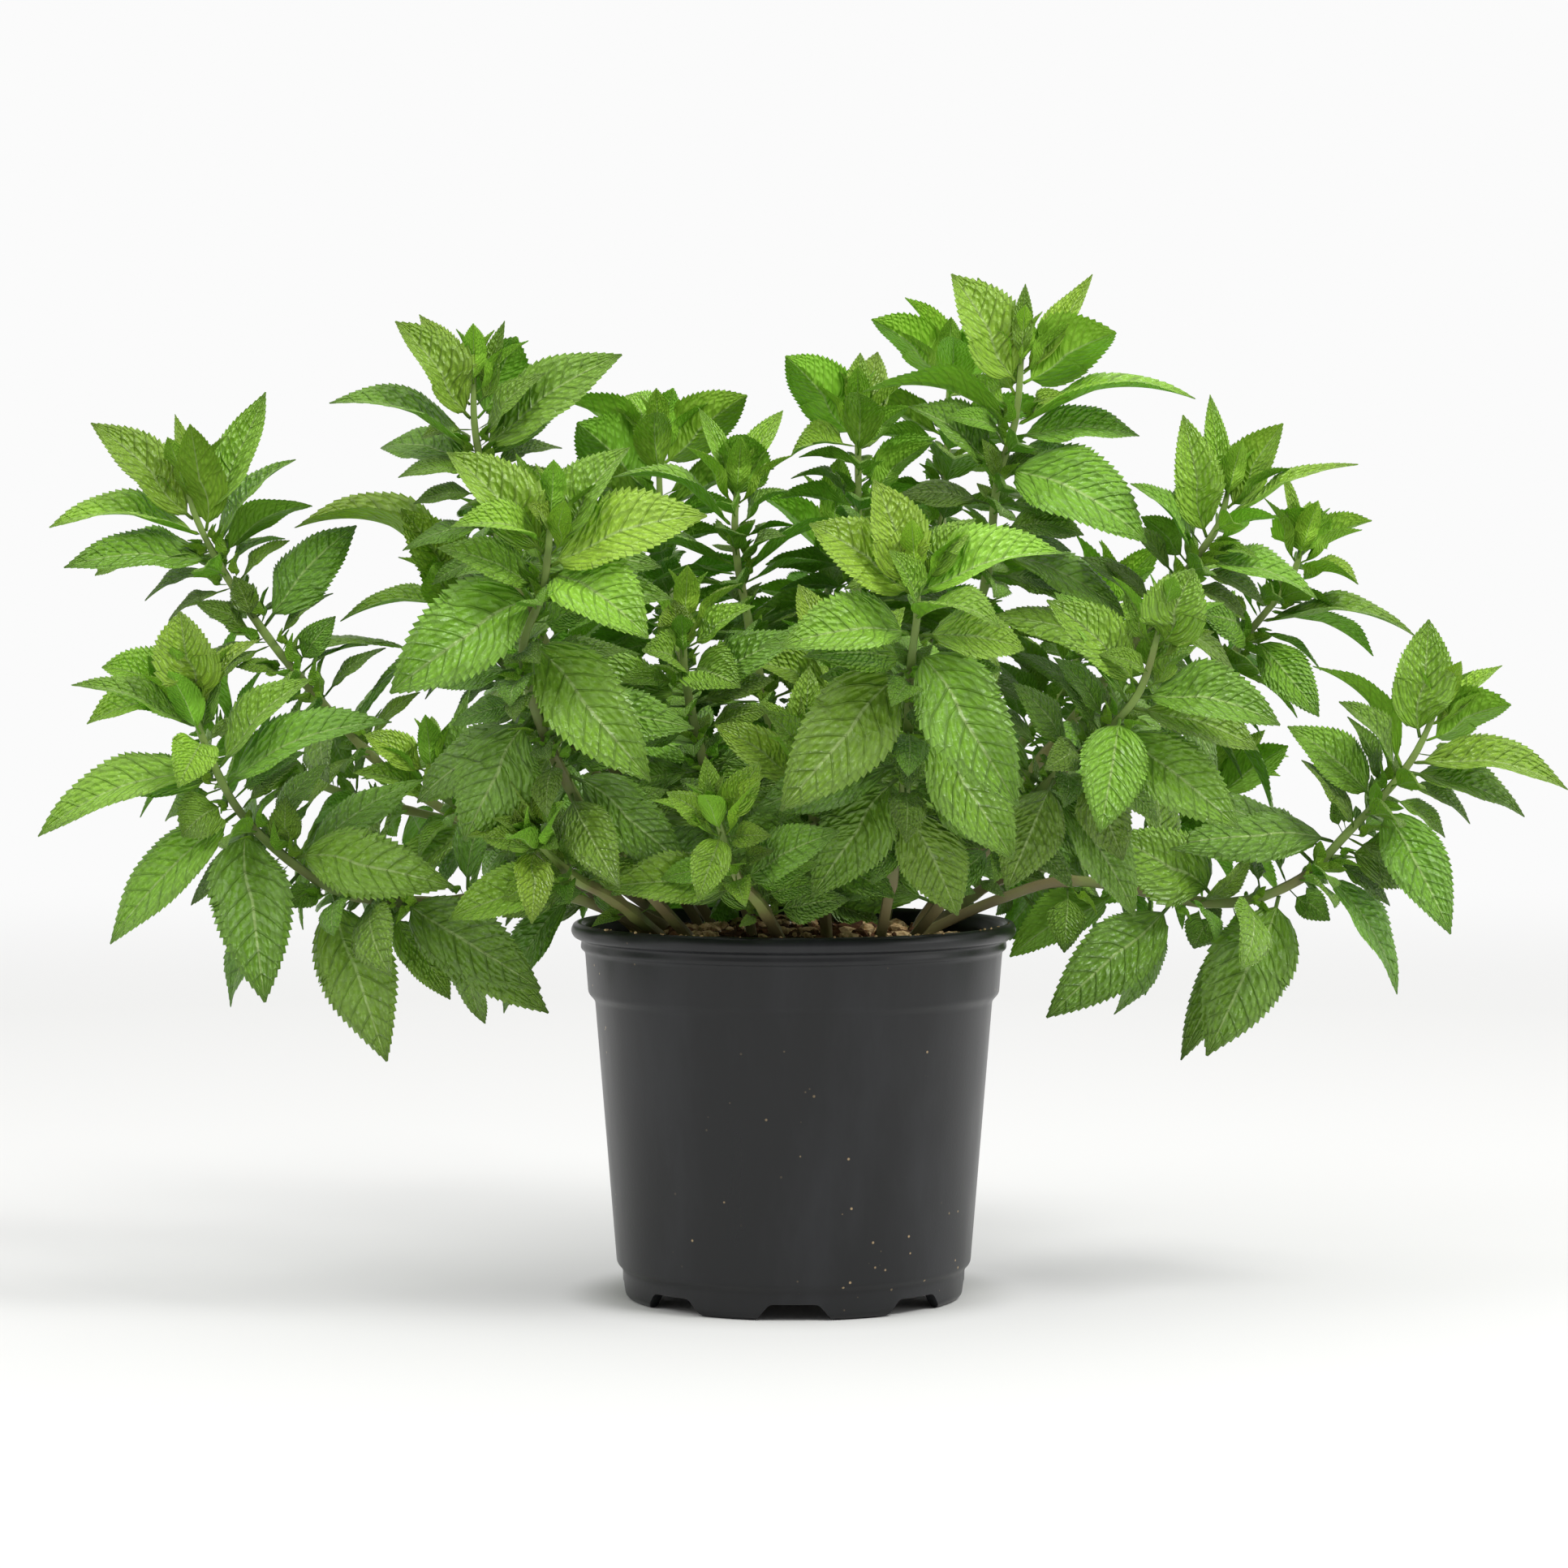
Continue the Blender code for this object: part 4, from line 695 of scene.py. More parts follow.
    def fill(self) -> None:
        """Places every leaf of the frame, the known ones first."""
        for number, leaves in LEAVES.items():
            for s, x, y, z, width, facing, arch in leaves:
                self.place(self.stems[number], s * MM, Vector((x, y, z)) * MM, width, facing, arch)
        for k, (s, length, lift) in enumerate(zip(LOOSE_AT, LOOSE_LENGTH, LOOSE_LIFT)):
            for number, stem in self.stems.items():
                if s * MM > stem.length - 14 * MM or s < LOOSE_FROM.get(number, 22):
                    continue
                for side in ((0, 2), (1, 3))[k % 2]:
                    _, _, ways = stem.ways(s * MM)
                    if number <= 20 and number not in LOOSE_FROM and ways[side].y < -0.35 and s < 80:
                        continue
                    self.grow(stem, s * MM, side, length, lift)

    def thicken(self) -> None:
        """Places smaller leaves where the larger ones leave room."""
        for s, length in ((34, 30), (58, 34), (84, 34), (22, 24), (44, 26), (70, 28), (98, 30), (122, 28)):
            for stem in self.stems.values():
                if s * MM > stem.length - 10 * MM:
                    continue
                for side in range(4):
                    self.grow(stem, s * MM, side, length, 72, 13.0, 0.15)

    def bud(self, stem: Stem) -> list[Blade]:
        """The crown's closed young leaves at a stem's tip.

        Args:
            stem: the stem that ends in the crown.

        Returns:
            The young leaves, the smallest first.
        """
        blades = []
        for k, (s, length, lift) in enumerate(
            ((0.2, 9, 6), (1.2, 14, 12), (3.0, 19, 20), (5.6, 25, 30), (9.0, 28, 44))
        ):
            for side in ((0, 2), (1, 3))[k % 2]:
                point, up, ways = stem.ways(s * MM)
                rise = math.radians(lift)
                toward = (ways[side] * math.sin(rise) + up * math.cos(rise)).normalized()
                root = point + ways[side] * (0.6 * stem.half(s * MM))
                blades.append(Blade(
                    root, ways[side], root + toward * length * MM, up - ways[side] * 1.4, 0.42 * length * MM,
                    0.07 * length * MM, s * MM, side, 0.0, 0.0,
                ))
        return blades

    def axil(self, stem: Stem, blade: Blade, draw: random.Random) -> list[Blade]:
        """The pair of small leaves that opens between a leaf and its stem.

        Args:
            stem: the stem.
            blade: the leaf whose axil it is.
            draw: the source of chance.

        Returns:
            The small leaves.
        """
        joint = blade.joint - 1.6 * MM
        point, up, ways = stem.ways(joint)
        out = ways[blade.side]
        across = up.cross(out)
        blades = []
        length = draw.uniform(8, 17) * MM
        for hand in (-1, 1):
            toward = up * draw.uniform(0.7, 1.0) + out * draw.uniform(0.55, 0.9) + across * hand * 0.6
            toward = toward.normalized()
            root = point + out * stem.half(joint)
            blades.append(Blade(
                root, out, root + toward * length, up - out * 0.4, 0.45 * length, 0.08 * length, joint,
                blade.side,
                0.0, 0.25,
            ))
        return blades


# ---------------------------------------------------------------- finishes


@dataclass(frozen=True)
class LeafFinish:
    """Mint leaf, upper or under side: a soft hairy blade that lets light through.

    Its colour goes from yellow-green in the crown to full green below, with a pale midrib. Cells between the
    finest veins stand up, the smaller the leaf the finer, which gives the puckering look; painted shade darkens
    their valleys and a painted highlight pales their tops, and painted shade darkens the side veins' furrows.
    Hairs soften the gloss.
    """

    name: str
    crown: str
    fresh: str
    mature: str
    rib: str
    glow: str
    through: float
    roughness: float
    gloss: float
    cells_across: float
    relief: float
    # how strongly painted shade darkens the side veins where they lie in furrows
    vein_furrow_shade: float
    # how strongly painted shade darkens the cells' valleys and a painted highlight pales their tops
    cell_shade_depth: float

    def build(self) -> bpy.types.Material:
        """Makes the node material."""
        material, tree = new_material(self.name)
        place = add_node(tree, "ShaderNodeAttribute", {"attribute_name": "leaf_place"}, {})
        kind = add_node(tree, "ShaderNodeAttribute", {"attribute_name": "leaf_kind"}, {})
        place = add_node(tree, "ShaderNodeSeparateXYZ", {}, {0: place.outputs["Vector"]})
        kind = add_node(tree, "ShaderNodeSeparateXYZ", {}, {0: kind.outputs["Vector"]})
        coordinates = add_node(tree, "ShaderNodeTexCoord", {}, {})
        solid = coordinates.outputs["Object"]

        # veins: side veins at whole numbers of the vein count, and the midrib where the blade's middle is
        away = add_node(tree, "ShaderNodeMath", {"operation": "PINGPONG"}, {0: place.outputs["Z"], 1: 0.5})
        lateral = add_node(
            tree, "ShaderNodeMapRange", {"interpolation_type": "SMOOTHERSTEP"},
            {0: away.outputs[0], 1: 0.0, 2: 0.1, 3: 1.0, 4: 0.0},
        )
        middle = add_node(tree, "ShaderNodeMath", {"operation": "ABSOLUTE"}, {0: place.outputs["Y"]})
        midrib = add_node(
            tree, "ShaderNodeMapRange", {"interpolation_type": "SMOOTHERSTEP"},
            {0: middle.outputs[0], 1: 0.015, 2: 0.055, 3: 1.0, 4: 0.0},
        )
        inner = add_node(
            tree, "ShaderNodeMapRange", {}, {0: middle.outputs[0], 1: 0.5, 2: 1.0, 3: 1.0, 4: 0.35}
        )
        side = add_node(
            tree, "ShaderNodeMath", {"operation": "MULTIPLY"}, {0: lateral.outputs[0], 1: inner.outputs[0]},
        )

        # blade colour by age, with patches a few millimetres wide
        early = add_node(tree, "ShaderNodeMapRange", {}, {0: kind.outputs["X"], 1: 0.0, 2: 0.45})
        late = add_node(tree, "ShaderNodeMapRange", {}, {0: kind.outputs["X"], 1: 0.3, 2: 1.0})
        colour = add_node(
            tree, "ShaderNodeMix", {"data_type": "RGBA"},
            {0: early.outputs[0], 6: linear(self.crown), 7: linear(self.fresh)},
        )
        colour = add_node(
            tree, "ShaderNodeMix", {"data_type": "RGBA"},
            {0: late.outputs[0], 6: colour.outputs[2], 7: linear(self.mature)},
        )
        patches = add_node(
            tree, "ShaderNodeTexNoise", {}, {"Vector": solid, "Scale": 90.0, "Detail": 3.0, "Roughness": 0.6},
        )
        tone = add_node(
            tree, "ShaderNodeMath", {"operation": "MULTIPLY_ADD"},
            {0: patches.outputs[0], 1: 0.5, 2: kind.outputs["Y"]},
        )
        # cells between the finest veins, two rows to a side vein: painted shade darkens their valleys and a
        # painted highlight makes their tops paler
        shift = add_node(tree, "ShaderNodeMath", {"operation": "MULTIPLY"}, {0: kind.outputs["Y"], 1: 40.0})
        shift = add_node(tree, "ShaderNodeMath", {"operation": "SNAP"}, {0: shift.outputs[0], 1: 2.0})
        row = add_node(
            tree, "ShaderNodeMath", {"operation": "MULTIPLY_ADD"},
            {0: place.outputs["Z"], 1: 2.0, 2: shift.outputs[0]},
        )
        column = add_node(
            tree, "ShaderNodeMath", {"operation": "MULTIPLY"}, {0: place.outputs["Y"], 1: self.cells_across},
        )
        grid = add_node(tree, "ShaderNodeCombineXYZ", {}, {0: row.outputs[0], 1: column.outputs[0]})
        cells = add_node(
            tree, "ShaderNodeTexVoronoi", {"feature": "SMOOTH_F1", "voronoi_dimensions": "2D"},
            {"Vector": grid.outputs[0], "Scale": 1.0, "Smoothness": 0.25, "Randomness": 0.7},
        )
        cell_shade = add_node(
            tree, "ShaderNodeMapRange", {},
            {0: cells.outputs["Distance"], 1: 0.1, 2: 0.65, 3: self.cell_shade_depth, 4: -self.cell_shade_depth},
        )
        value = add_node(
            tree, "ShaderNodeMapRange", {}, {0: tone.outputs[0], 1: 0.0, 2: 1.5, 3: 0.68, 4: 1.36}
        )
        value = add_node(
            tree, "ShaderNodeMath", {"operation": "ADD"}, {0: value.outputs[0], 1: cell_shade.outputs[0]}
        )
        hue = add_node(tree, "ShaderNodeMapRange", {}, {0: kind.outputs["Z"], 3: 0.49, 4: 0.512})
        colour = add_node(
            tree, "ShaderNodeHueSaturation", {},
            {"Hue": hue.outputs[0], "Saturation": 1.05, "Value": value.outputs[0],
            "Color": colour.outputs[2]},
        )
        # painted shade: the side veins are darkened in colour as if shaded in their furrows
        furrow = add_node(
            tree, "ShaderNodeMath", {"operation": "MULTIPLY"}, {0: side.outputs[0], 1: self.vein_furrow_shade}
        )
        furrow_shaded = add_node(
            tree, "ShaderNodeMix", {"data_type": "RGBA", "blend_type": "MULTIPLY"},
            {0: furrow.outputs[0], 6: colour.outputs[0], 7: linear("#7f9a4a")},
        )
        pale = add_node(tree, "ShaderNodeMath", {"operation": "MULTIPLY"}, {0: midrib.outputs[0], 1: 0.6})
        blade = add_node(
            tree, "ShaderNodeMix", {"data_type": "RGBA"},
            {0: pale.outputs[0], 6: furrow_shaded.outputs[2], 7: linear(self.rib)},
        )

        # relief: standing cells, sunken veins and a fine hairy grain
        grain = add_node(
            tree, "ShaderNodeTexNoise", {}, {"Vector": solid, "Scale": 1400.0, "Detail": 2.0},
        )
        height = add_node(
            tree, "ShaderNodeMath", {"operation": "MULTIPLY_ADD"},
            {0: cells.outputs["Distance"], 1: -1.6, 2: 1.0},
        )
        height = add_node(
            tree, "ShaderNodeMath", {"operation": "MULTIPLY_ADD"},
            {0: grain.outputs[0], 1: 0.25, 2: height.outputs[0]},
        )
        height = add_node(
            tree, "ShaderNodeMath", {"operation": "MULTIPLY_ADD"},
            {0: side.outputs[0], 1: -0.6, 2: height.outputs[0]},
        )
        bump = add_node(
            tree, "ShaderNodeBump", {},
            {"Strength": self.relief, "Distance": 1.2 * MM, "Height": height.outputs[0]},
        )
        rough = add_node(
            tree, "ShaderNodeMapRange", {},
            {0: patches.outputs[0], 3: self.roughness - 0.06, 4: self.roughness + 0.1},
        )
        shader = add_node(
            tree, "ShaderNodeBsdfPrincipled", {},
            {
                "Base Color": blade.outputs[2], "Roughness": rough.outputs[0], "IOR": 1.42,
                "Specular IOR Level": self.gloss, "Normal": bump.outputs[0],
                "Sheen Weight": 0.12, "Sheen Roughness": 0.5, "Sheen Tint": linear("#dff0b8"),
            },
        )
        light = add_node(
            tree, "ShaderNodeMix", {"data_type": "RGBA", "blend_type": "MULTIPLY"},
            {0: 0.55, 6: linear(self.glow), 7: blade.outputs[2]},
        )
        glow = add_node(
            tree, "ShaderNodeBsdfTranslucent", {}, {"Color": light.outputs[2], "Normal": bump.outputs[0]},
        )
        mixed = add_node(
            tree, "ShaderNodeMixShader", {}, {0: self.through, 1: shader.outputs[0], 2: glow.outputs[0]},
        )
        add_node(tree, "ShaderNodeOutputMaterial", {}, {"Surface": mixed.outputs[0]})
        return material


@dataclass(frozen=True)
class StemFinish:
    """Green herb stem, square and lightly hairy: purple-brown patches, the most where it is old."""

    name: str = "mint_stem_skin"
    green: str = "#7d9a45"
    purple: str = "#6d5440"

    def build(self) -> bpy.types.Material:
        """Makes the node material."""
        material, tree = new_material(self.name)
        coordinates = add_node(tree, "ShaderNodeTexCoord", {}, {})
        solid = coordinates.outputs["Object"]
        kind = add_node(tree, "ShaderNodeAttribute", {"attribute_name": "stem_age"}, {})
        patches = add_node(tree, "ShaderNodeTexNoise", {}, {"Vector": solid, "Scale": 60.0, "Detail": 3.0})
        share = add_node(
            tree, "ShaderNodeMath", {"operation": "MULTIPLY_ADD"},
            {0: kind.outputs["Fac"], 1: 0.55, 2: patches.outputs[0]},
        )
        share = add_node(
            tree, "ShaderNodeMapRange", {"interpolation_type": "SMOOTHSTEP"},
            {0: share.outputs[0], 1: 0.5, 2: 1.05, 3: 0.08, 4: 0.8},
        )
        colour = add_node(
            tree, "ShaderNodeMix", {"data_type": "RGBA"},
            {0: share.outputs[0], 6: linear(self.green), 7: linear(self.purple)},
        )
        grain = add_node(tree, "ShaderNodeTexNoise", {}, {"Vector": solid, "Scale": 1500.0, "Detail": 2.0})
        bump = add_node(
            tree, "ShaderNodeBump", {}, {"Strength": 0.35, "Distance": 0.2 * MM, "Height": grain.outputs[0]},
        )
        shader = add_node(
            tree, "ShaderNodeBsdfPrincipled", {},
            {"Base Color": colour.outputs[2], "Roughness": 0.5, "Normal": bump.outputs[0]},
        )
        add_node(tree, "ShaderNodeOutputMaterial", {}, {"Surface": shader.outputs[0]})
        return material


@dataclass(frozen=True)
class PotFinish:
    """Injection-moulded charcoal polypropylene: a soft satin gloss, faint scuffs and specks of soil dust."""

    name: str = "black_polypropylene"
    plastic: str = "#131416"
    worn: str = "#26272a"
    dust: str = "#b39a74"

    def build(self) -> bpy.types.Material:
        """Makes the node material."""
        material, tree = new_material(self.name)
        coordinates = add_node(tree, "ShaderNodeTexCoord", {}, {})
        solid = coordinates.outputs["Object"]
        drawn = add_node(tree, "ShaderNodeMapping", {}, {"Vector": solid, "Scale": (1.0, 1.0, 0.3)})
        scuffs = add_node(
            tree, "ShaderNodeTexNoise", {},
            {"Vector": drawn.outputs[0], "Scale": 28.0, "Detail": 5.0, "Roughness": 0.62},
        )
        wear = add_node(
            tree, "ShaderNodeMapRange", {"interpolation_type": "SMOOTHSTEP"},
            {0: scuffs.outputs[0], 1: 0.42, 2: 0.75, 3: 0.0, 4: 0.8},
        )
        colour = add_node(
            tree, "ShaderNodeMix", {"data_type": "RGBA"},
            {0: wear.outputs[0], 6: linear(self.plastic), 7: linear(self.worn)},
        )
        # dust specks about 0.8 mm wide on a 6 mm pattern, thick only in patches
        specks = add_node(tree, "ShaderNodeTexVoronoi", {}, {"Vector": solid, "Scale": 1000.0 / 6.0})
        speck = add_node(
            tree, "ShaderNodeMapRange", {"interpolation_type": "SMOOTHSTEP"},
            {0: specks.outputs["Distance"], 1: 0.05, 2: 0.1, 3: 1.0, 4: 0.0},
        )
        where = add_node(tree, "ShaderNodeTexNoise", {}, {"Vector": solid, "Scale": 22.0, "Detail": 2.0})
        where = add_node(
            tree, "ShaderNodeMapRange", {"interpolation_type": "SMOOTHSTEP"},
            {0: where.outputs[0], 1: 0.48, 2: 0.62, 3: 0.0, 4: 0.85},
        )
        dusty = add_node(
            tree, "ShaderNodeMath", {"operation": "MULTIPLY"}, {0: speck.outputs[0], 1: where.outputs[0]},
        )
        colour = add_node(
            tree, "ShaderNodeMix", {"data_type": "RGBA"},
            {0: dusty.outputs[0], 6: colour.outputs[2], 7: linear(self.dust)},
        )
        rough = add_node(
            tree, "ShaderNodeMapRange", {}, {0: scuffs.outputs[0], 1: 0.3, 2: 0.7, 3: 0.26, 4: 0.42}
        )
        grain = add_node(
            tree, "ShaderNodeTexNoise", {}, {"Vector": solid, "Scale": 900.0, "Detail": 2.0},
        )
        bump = add_node(
            tree, "ShaderNodeBump", {}, {"Strength": 0.12, "Distance": 0.2 * MM, "Height": grain.outputs[0]},
        )
        shader = add_node(
            tree, "ShaderNodeBsdfPrincipled", {},
            {
                "Base Color": colour.outputs[2], "Roughness": rough.outputs[0], "IOR": 1.49,
                "Specular IOR Level": 0.4, "Normal": bump.outputs[0],
            },
        )
        add_node(tree, "ShaderNodeOutputMaterial", {}, {"Surface": shader.outputs[0]})
        return material


@dataclass(frozen=True)
class GrainFinish:
    """Loose matter of a potting mix, such as peat, bark or perlite: dull, and blotched two ways."""

    name: str
    dark: str
    light: str
    blotch: float
    relief: float

    def build(self) -> bpy.types.Material:
        """Makes the node material. blotch is the pattern's size in millimetres."""
        material, tree = new_material(self.name)
        coordinates = add_node(tree, "ShaderNodeTexCoord", {}, {})
        solid = coordinates.outputs["Object"]
        pattern = add_node(
            tree, "ShaderNodeTexNoise", {},
            {"Vector": solid, "Scale": 1000.0 / self.blotch, "Detail": 4.0, "Roughness": 0.65},
        )
        share = add_node(tree, "ShaderNodeMapRange", {}, {0: pattern.outputs[0], 1: 0.35, 2: 0.7})
        colour = add_node(
            tree, "ShaderNodeMix", {"data_type": "RGBA"},
            {0: share.outputs[0], 6: linear(self.dark), 7: linear(self.light)},
        )
        bump = add_node(
            tree, "ShaderNodeBump", {},
            {"Strength": self.relief, "Distance": 1.0 * MM, "Height": pattern.outputs[0]},
        )
        shader = add_node(
            tree, "ShaderNodeBsdfPrincipled", {},
            {"Base Color": colour.outputs[2], "Roughness": 0.92, "Specular IOR Level": 0.2,
            "Normal": bump.outputs[0]},
        )
        add_node(tree, "ShaderNodeOutputMaterial", {}, {"Surface": shader.outputs[0]})
        return material


# The last value of each side paints shade into the cell valleys and highlight onto the cell tops; the value
# before it paints shade into the side veins' furrows.
UPPER_SIDE = LeafFinish(
    name="mint_leaf_upper", crown="#a8d24c", fresh="#93c044", mature="#7ca63a", rib="#c0d888", glow="#b0e024",
    through=0.26, roughness=0.34, gloss=1.0, cells_across=5.0, relief=0.9, vein_furrow_shade=0.2, cell_shade_depth=0.15,
)
UNDER_SIDE = LeafFinish(
    name="mint_leaf_under", crown="#a8d84e", fresh="#98cc48", mature="#86ba42", rib="#c8dc94", glow="#bcea34",
    through=0.42, roughness=0.5, gloss=0.5, cells_across=5.0, relief=0.55, vein_furrow_shade=0.1, cell_shade_depth=0.09,
)


# ---------------------------------------------------------------- leaf meshes


class Detail(Enum):
    """How finely a leaf is modelled: teeth on each side, rows to a tooth and columns across."""

    LARGE = (24, 2, 8)
    MIDDLE = (19, 2, 6)
    SMALL = (13, 2, 6)
    BUD = (7, 2, 4)


class BladePattern:
    """A flat leaf of unit size: two grids joined round the rim into one closed thin shell."""

    STALK_ROWS = 3

    def __init__(self, detail: Detail) -> None:
        """Builds the grids and keeps where each vertex lies along and across the blade."""
        self.teeth, self.steps, columns = detail.value
        rows = self.teeth * self.steps + self.STALK_ROWS
        edit = bmesh.new()
        bmesh.ops.create_grid(edit, x_segments=columns, y_segments=rows, size=0.5)
        lower = bmesh.ops.duplicate(edit, geom=edit.verts[:] + edit.edges[:] + edit.faces[:])["geom"]
        under = [e for e in lower if isinstance(e, bmesh.types.BMFace)]
        below = {e for e in lower if isinstance(e, bmesh.types.BMVert)}
        bmesh.ops.reverse_faces(edit, faces=under)
        for face in under:
            face.material_index = 1
        for vert in edit.verts:
            rim = abs(vert.co.x) > 0.4999 or abs(vert.co.y) > 0.4999
            row = round((vert.co.y + 0.5) * rows)
            vert.co = Vector((
                2 * vert.co.x if row < rows else 0.0, row, 0.0 if rim else (-1.0 if vert in below else 1.0)
            ))
        bmesh.ops.remove_doubles(edit, verts=edit.verts[:], dist=1e-4)
        bmesh.ops.recalc_face_normals(edit, faces=edit.faces[:])
        self.mesh = bpy.data.meshes.new(f"pattern_{detail.name.lower()}")
        edit.to_mesh(self.mesh)
        edit.free()
        count = len(self.mesh.vertices)
        flat = np.empty(count * 3)
        self.mesh.vertices.foreach_get("co", flat)
        flat = flat.reshape(-1, 3)
        self.across, self.side = flat[:, 0], flat[:, 2]
        row = np.rint(flat[:, 1]).astype(int)
        beyond = row - self.STALK_ROWS
        part = np.array((0.0, 0.5, 0.88) if self.steps == 3 else (0.0, 0.7))[beyond % self.steps]
        self.notch = np.where(beyond > 0, 1.0 - part / part.max(), 0.0)
        self.lean = np.where((beyond > 0) & (part > 0.6), 1.0, 0.0)
        self.along = np.where(
            beyond < 0, beyond / self.STALK_ROWS, (beyond // self.steps + part) / self.teeth
        )
        loops = np.empty(len(self.mesh.loops), int)
        self.mesh.loops.foreach_get("vertex_index", loops)
        self.loop_verts = loops
        under_loops = np.zeros(len(loops), bool)
        for face in self.mesh.polygons:
            under_loops[list(face.loop_indices)] = face.material_index == 1
        self.under_loops = under_loops


@dataclass
class LeafForm:
    """How one leaf's surface runs: all but the place and size, which its blade holds."""

    STALK = 2.2  # length of a young leaf's stalk, in millimetres, and what an old one's is longer
    STALK_MORE = 2.3
    STALK_HALF = 0.75
    SHAPE_RISE = 0.7  # with SHAPE_FALL, where the blade is widest and how it runs out
    SHAPE_FALL = 1.04
    NARROW = 0.9  # the blade's width against that of its plain form
    VEINS = 8.0
    HALF_THICK = 0.17

    age: float
    tone: float
    warmth: float
    fold: float
    curl: float
    wave: float
    phase: float
    twist: float
    furrow: float
    tooth: float

    @classmethod
    def drawn(cls, blade: Blade, draw: random.Random) -> "LeafForm":
        """Draws a leaf's form by chance, within what leaves of its age and size have."""
        age = min(1.0, blade.joint / (62 * MM)) if blade.young is None else blade.young
        size = min(1.0, blade.length / (55 * MM))
        return cls(
            age=min(1.0, max(0.0, age + draw.uniform(-0.12, 0.12))),
            tone=draw.random(),
            warmth=draw.random(),
            fold=draw.uniform(0.55, 0.95) * (1 - age) + draw.uniform(0.12, 0.5) * age,
            curl=draw.uniform(0.02, 0.12) * (1 - age) + draw.uniform(0.06, 0.3) * age,
            wave=draw.uniform(0.05, 0.13) * (0.5 + 0.5 * age),
            phase=draw.uniform(0, 2 * math.pi),
            twist=draw.uniform(-0.45, 0.45),
            furrow=(0.3 + 0.3 * age) * (0.35 + 0.65 * size),
            tooth=draw.uniform(0.06, 0.095),
        )

    def surface(self, blade: Blade, pattern: BladePattern) -> tuple[np.ndarray, np.ndarray]:
        """Lays the flat pattern on a leaf's line.

        Args:
            blade: the leaf's line.
            pattern: the flat leaf.

        Returns:
            The vertices' places in metres, and each one's share along, share across and vein count.
        """
        length = blade.length / MM
        width = blade.width / MM * self.NARROW
        along, across, side = pattern.along, pattern.across, pattern.side
        stalk = min(0.12, (self.STALK + self.STALK_MORE * self.age) / length)
        u = np.clip(along, 0, 1)
        outer = across ** 4
        t = np.where(
            along < 0, stalk * (1 + along),
            stalk + (1 - stalk) * (u + 0.28 * pattern.lean * outer / pattern.teeth)
        )
        t = np.minimum(t, 1.0)
        peak_at = self.SHAPE_RISE / (self.SHAPE_RISE + self.SHAPE_FALL)
        peak = peak_at ** self.SHAPE_RISE * (1 - peak_at) ** self.SHAPE_FALL
        shape = u ** self.SHAPE_RISE * (1 - u) ** self.SHAPE_FALL / peak
        stalk_half = self.STALK_HALF * min(1.0, length / 45) * (0.55 + 0.45 * width / 30)
        half = 0.5 * width * shape + stalk_half * (1 - u) ** 2
        x = across * half * (1 - self.tooth * pattern.notch * outer * np.minimum(1, 8 * u))
        reach = np.abs(x)
        veins = self.VEINS * (u - (0.9 * reach + 0.6 * reach ** 2 / np.maximum(width, 1)) / length) + 0.3
        away = np.abs(veins - np.rint(veins))
        blade_part = np.minimum(1, 6 * u) * (along >= 0)
        rise = self.fold * (np.sqrt(x ** 2 + 0.35) - 0.6)
        rise = rise - self.curl * 0.5 * width * shape * across ** 4
        rise = rise + self.wave * 0.5 * width * shape * across ** 2 * np.sin(
            2 * math.pi * (1.9 * u + 0.3 * np.sign(across)) + self.phase
        )
        bend = np.minimum(1, reach / 2.5)
        rise = rise - (
            0.7 * self.furrow * np.exp(-((away / 0.2) ** 2)) * blade_part * bend * (1 - 0.5 * np.abs(across))
        )
        rise = rise + (
            0.9 * self.furrow * np.sin(math.pi * np.minimum(1, away * 2)) * blade_part * bend * (1 - outer)
        )
        rib = 0.55 * np.exp(-((x / 0.8) ** 2)) * (1 - 0.8 * u)
        thick = np.where(side < 0, self.HALF_THICK + rib, self.HALF_THICK)
        round_stalk = stalk_half * np.sqrt(np.maximum(0, 1 - across ** 2)) * 1.1
        thick = np.where(along < 0, round_stalk, thick + (round_stalk - thick) * np.maximum(0, 1 - 9 * u))
        rise = rise * np.where(along < 0, 0, 1) + side * thick

        def as_rows(vector: Vector) -> np.ndarray:
            """The vector as one row, to add to many."""
            return np.array(vector, float)[None, :]

        def centre(share: np.ndarray) -> np.ndarray:
            """Places on the blade's middle line at these shares of its length."""
            share = share[:, None]
            bulge = 2.2 * MM * np.sin(math.pi * np.minimum(1.0, 2.2 * share))
            return (
                as_rows(blade.root) + as_rows(blade.tip - blade.root) * share
                + as_rows(blade.normal) * (4 * blade.arch * share * (1 - share)) + as_rows(blade.out) * bulge
            )

        middle = centre(t)
        ahead = centre(np.minimum(1.0, t + 0.04)) - centre(t - 0.04)
        ahead /= np.linalg.norm(ahead, axis=1)[:, None]
        normal = as_rows(blade.normal) - ahead * (ahead @ np.array(blade.normal))[:, None]
        normal /= np.linalg.norm(normal, axis=1)[:, None]
        sideways = np.cross(normal, ahead)
        turn = (self.twist * (t - 0.3))[:, None]
        sideways, normal = (
            sideways * np.cos(turn) + normal * np.sin(turn), normal * np.cos(turn) - sideways * np.sin(turn),
        )
        places = middle + (sideways * x[:, None] + normal * rise[:, None]) * MM
        return places, np.stack([along, across, veins], axis=1)


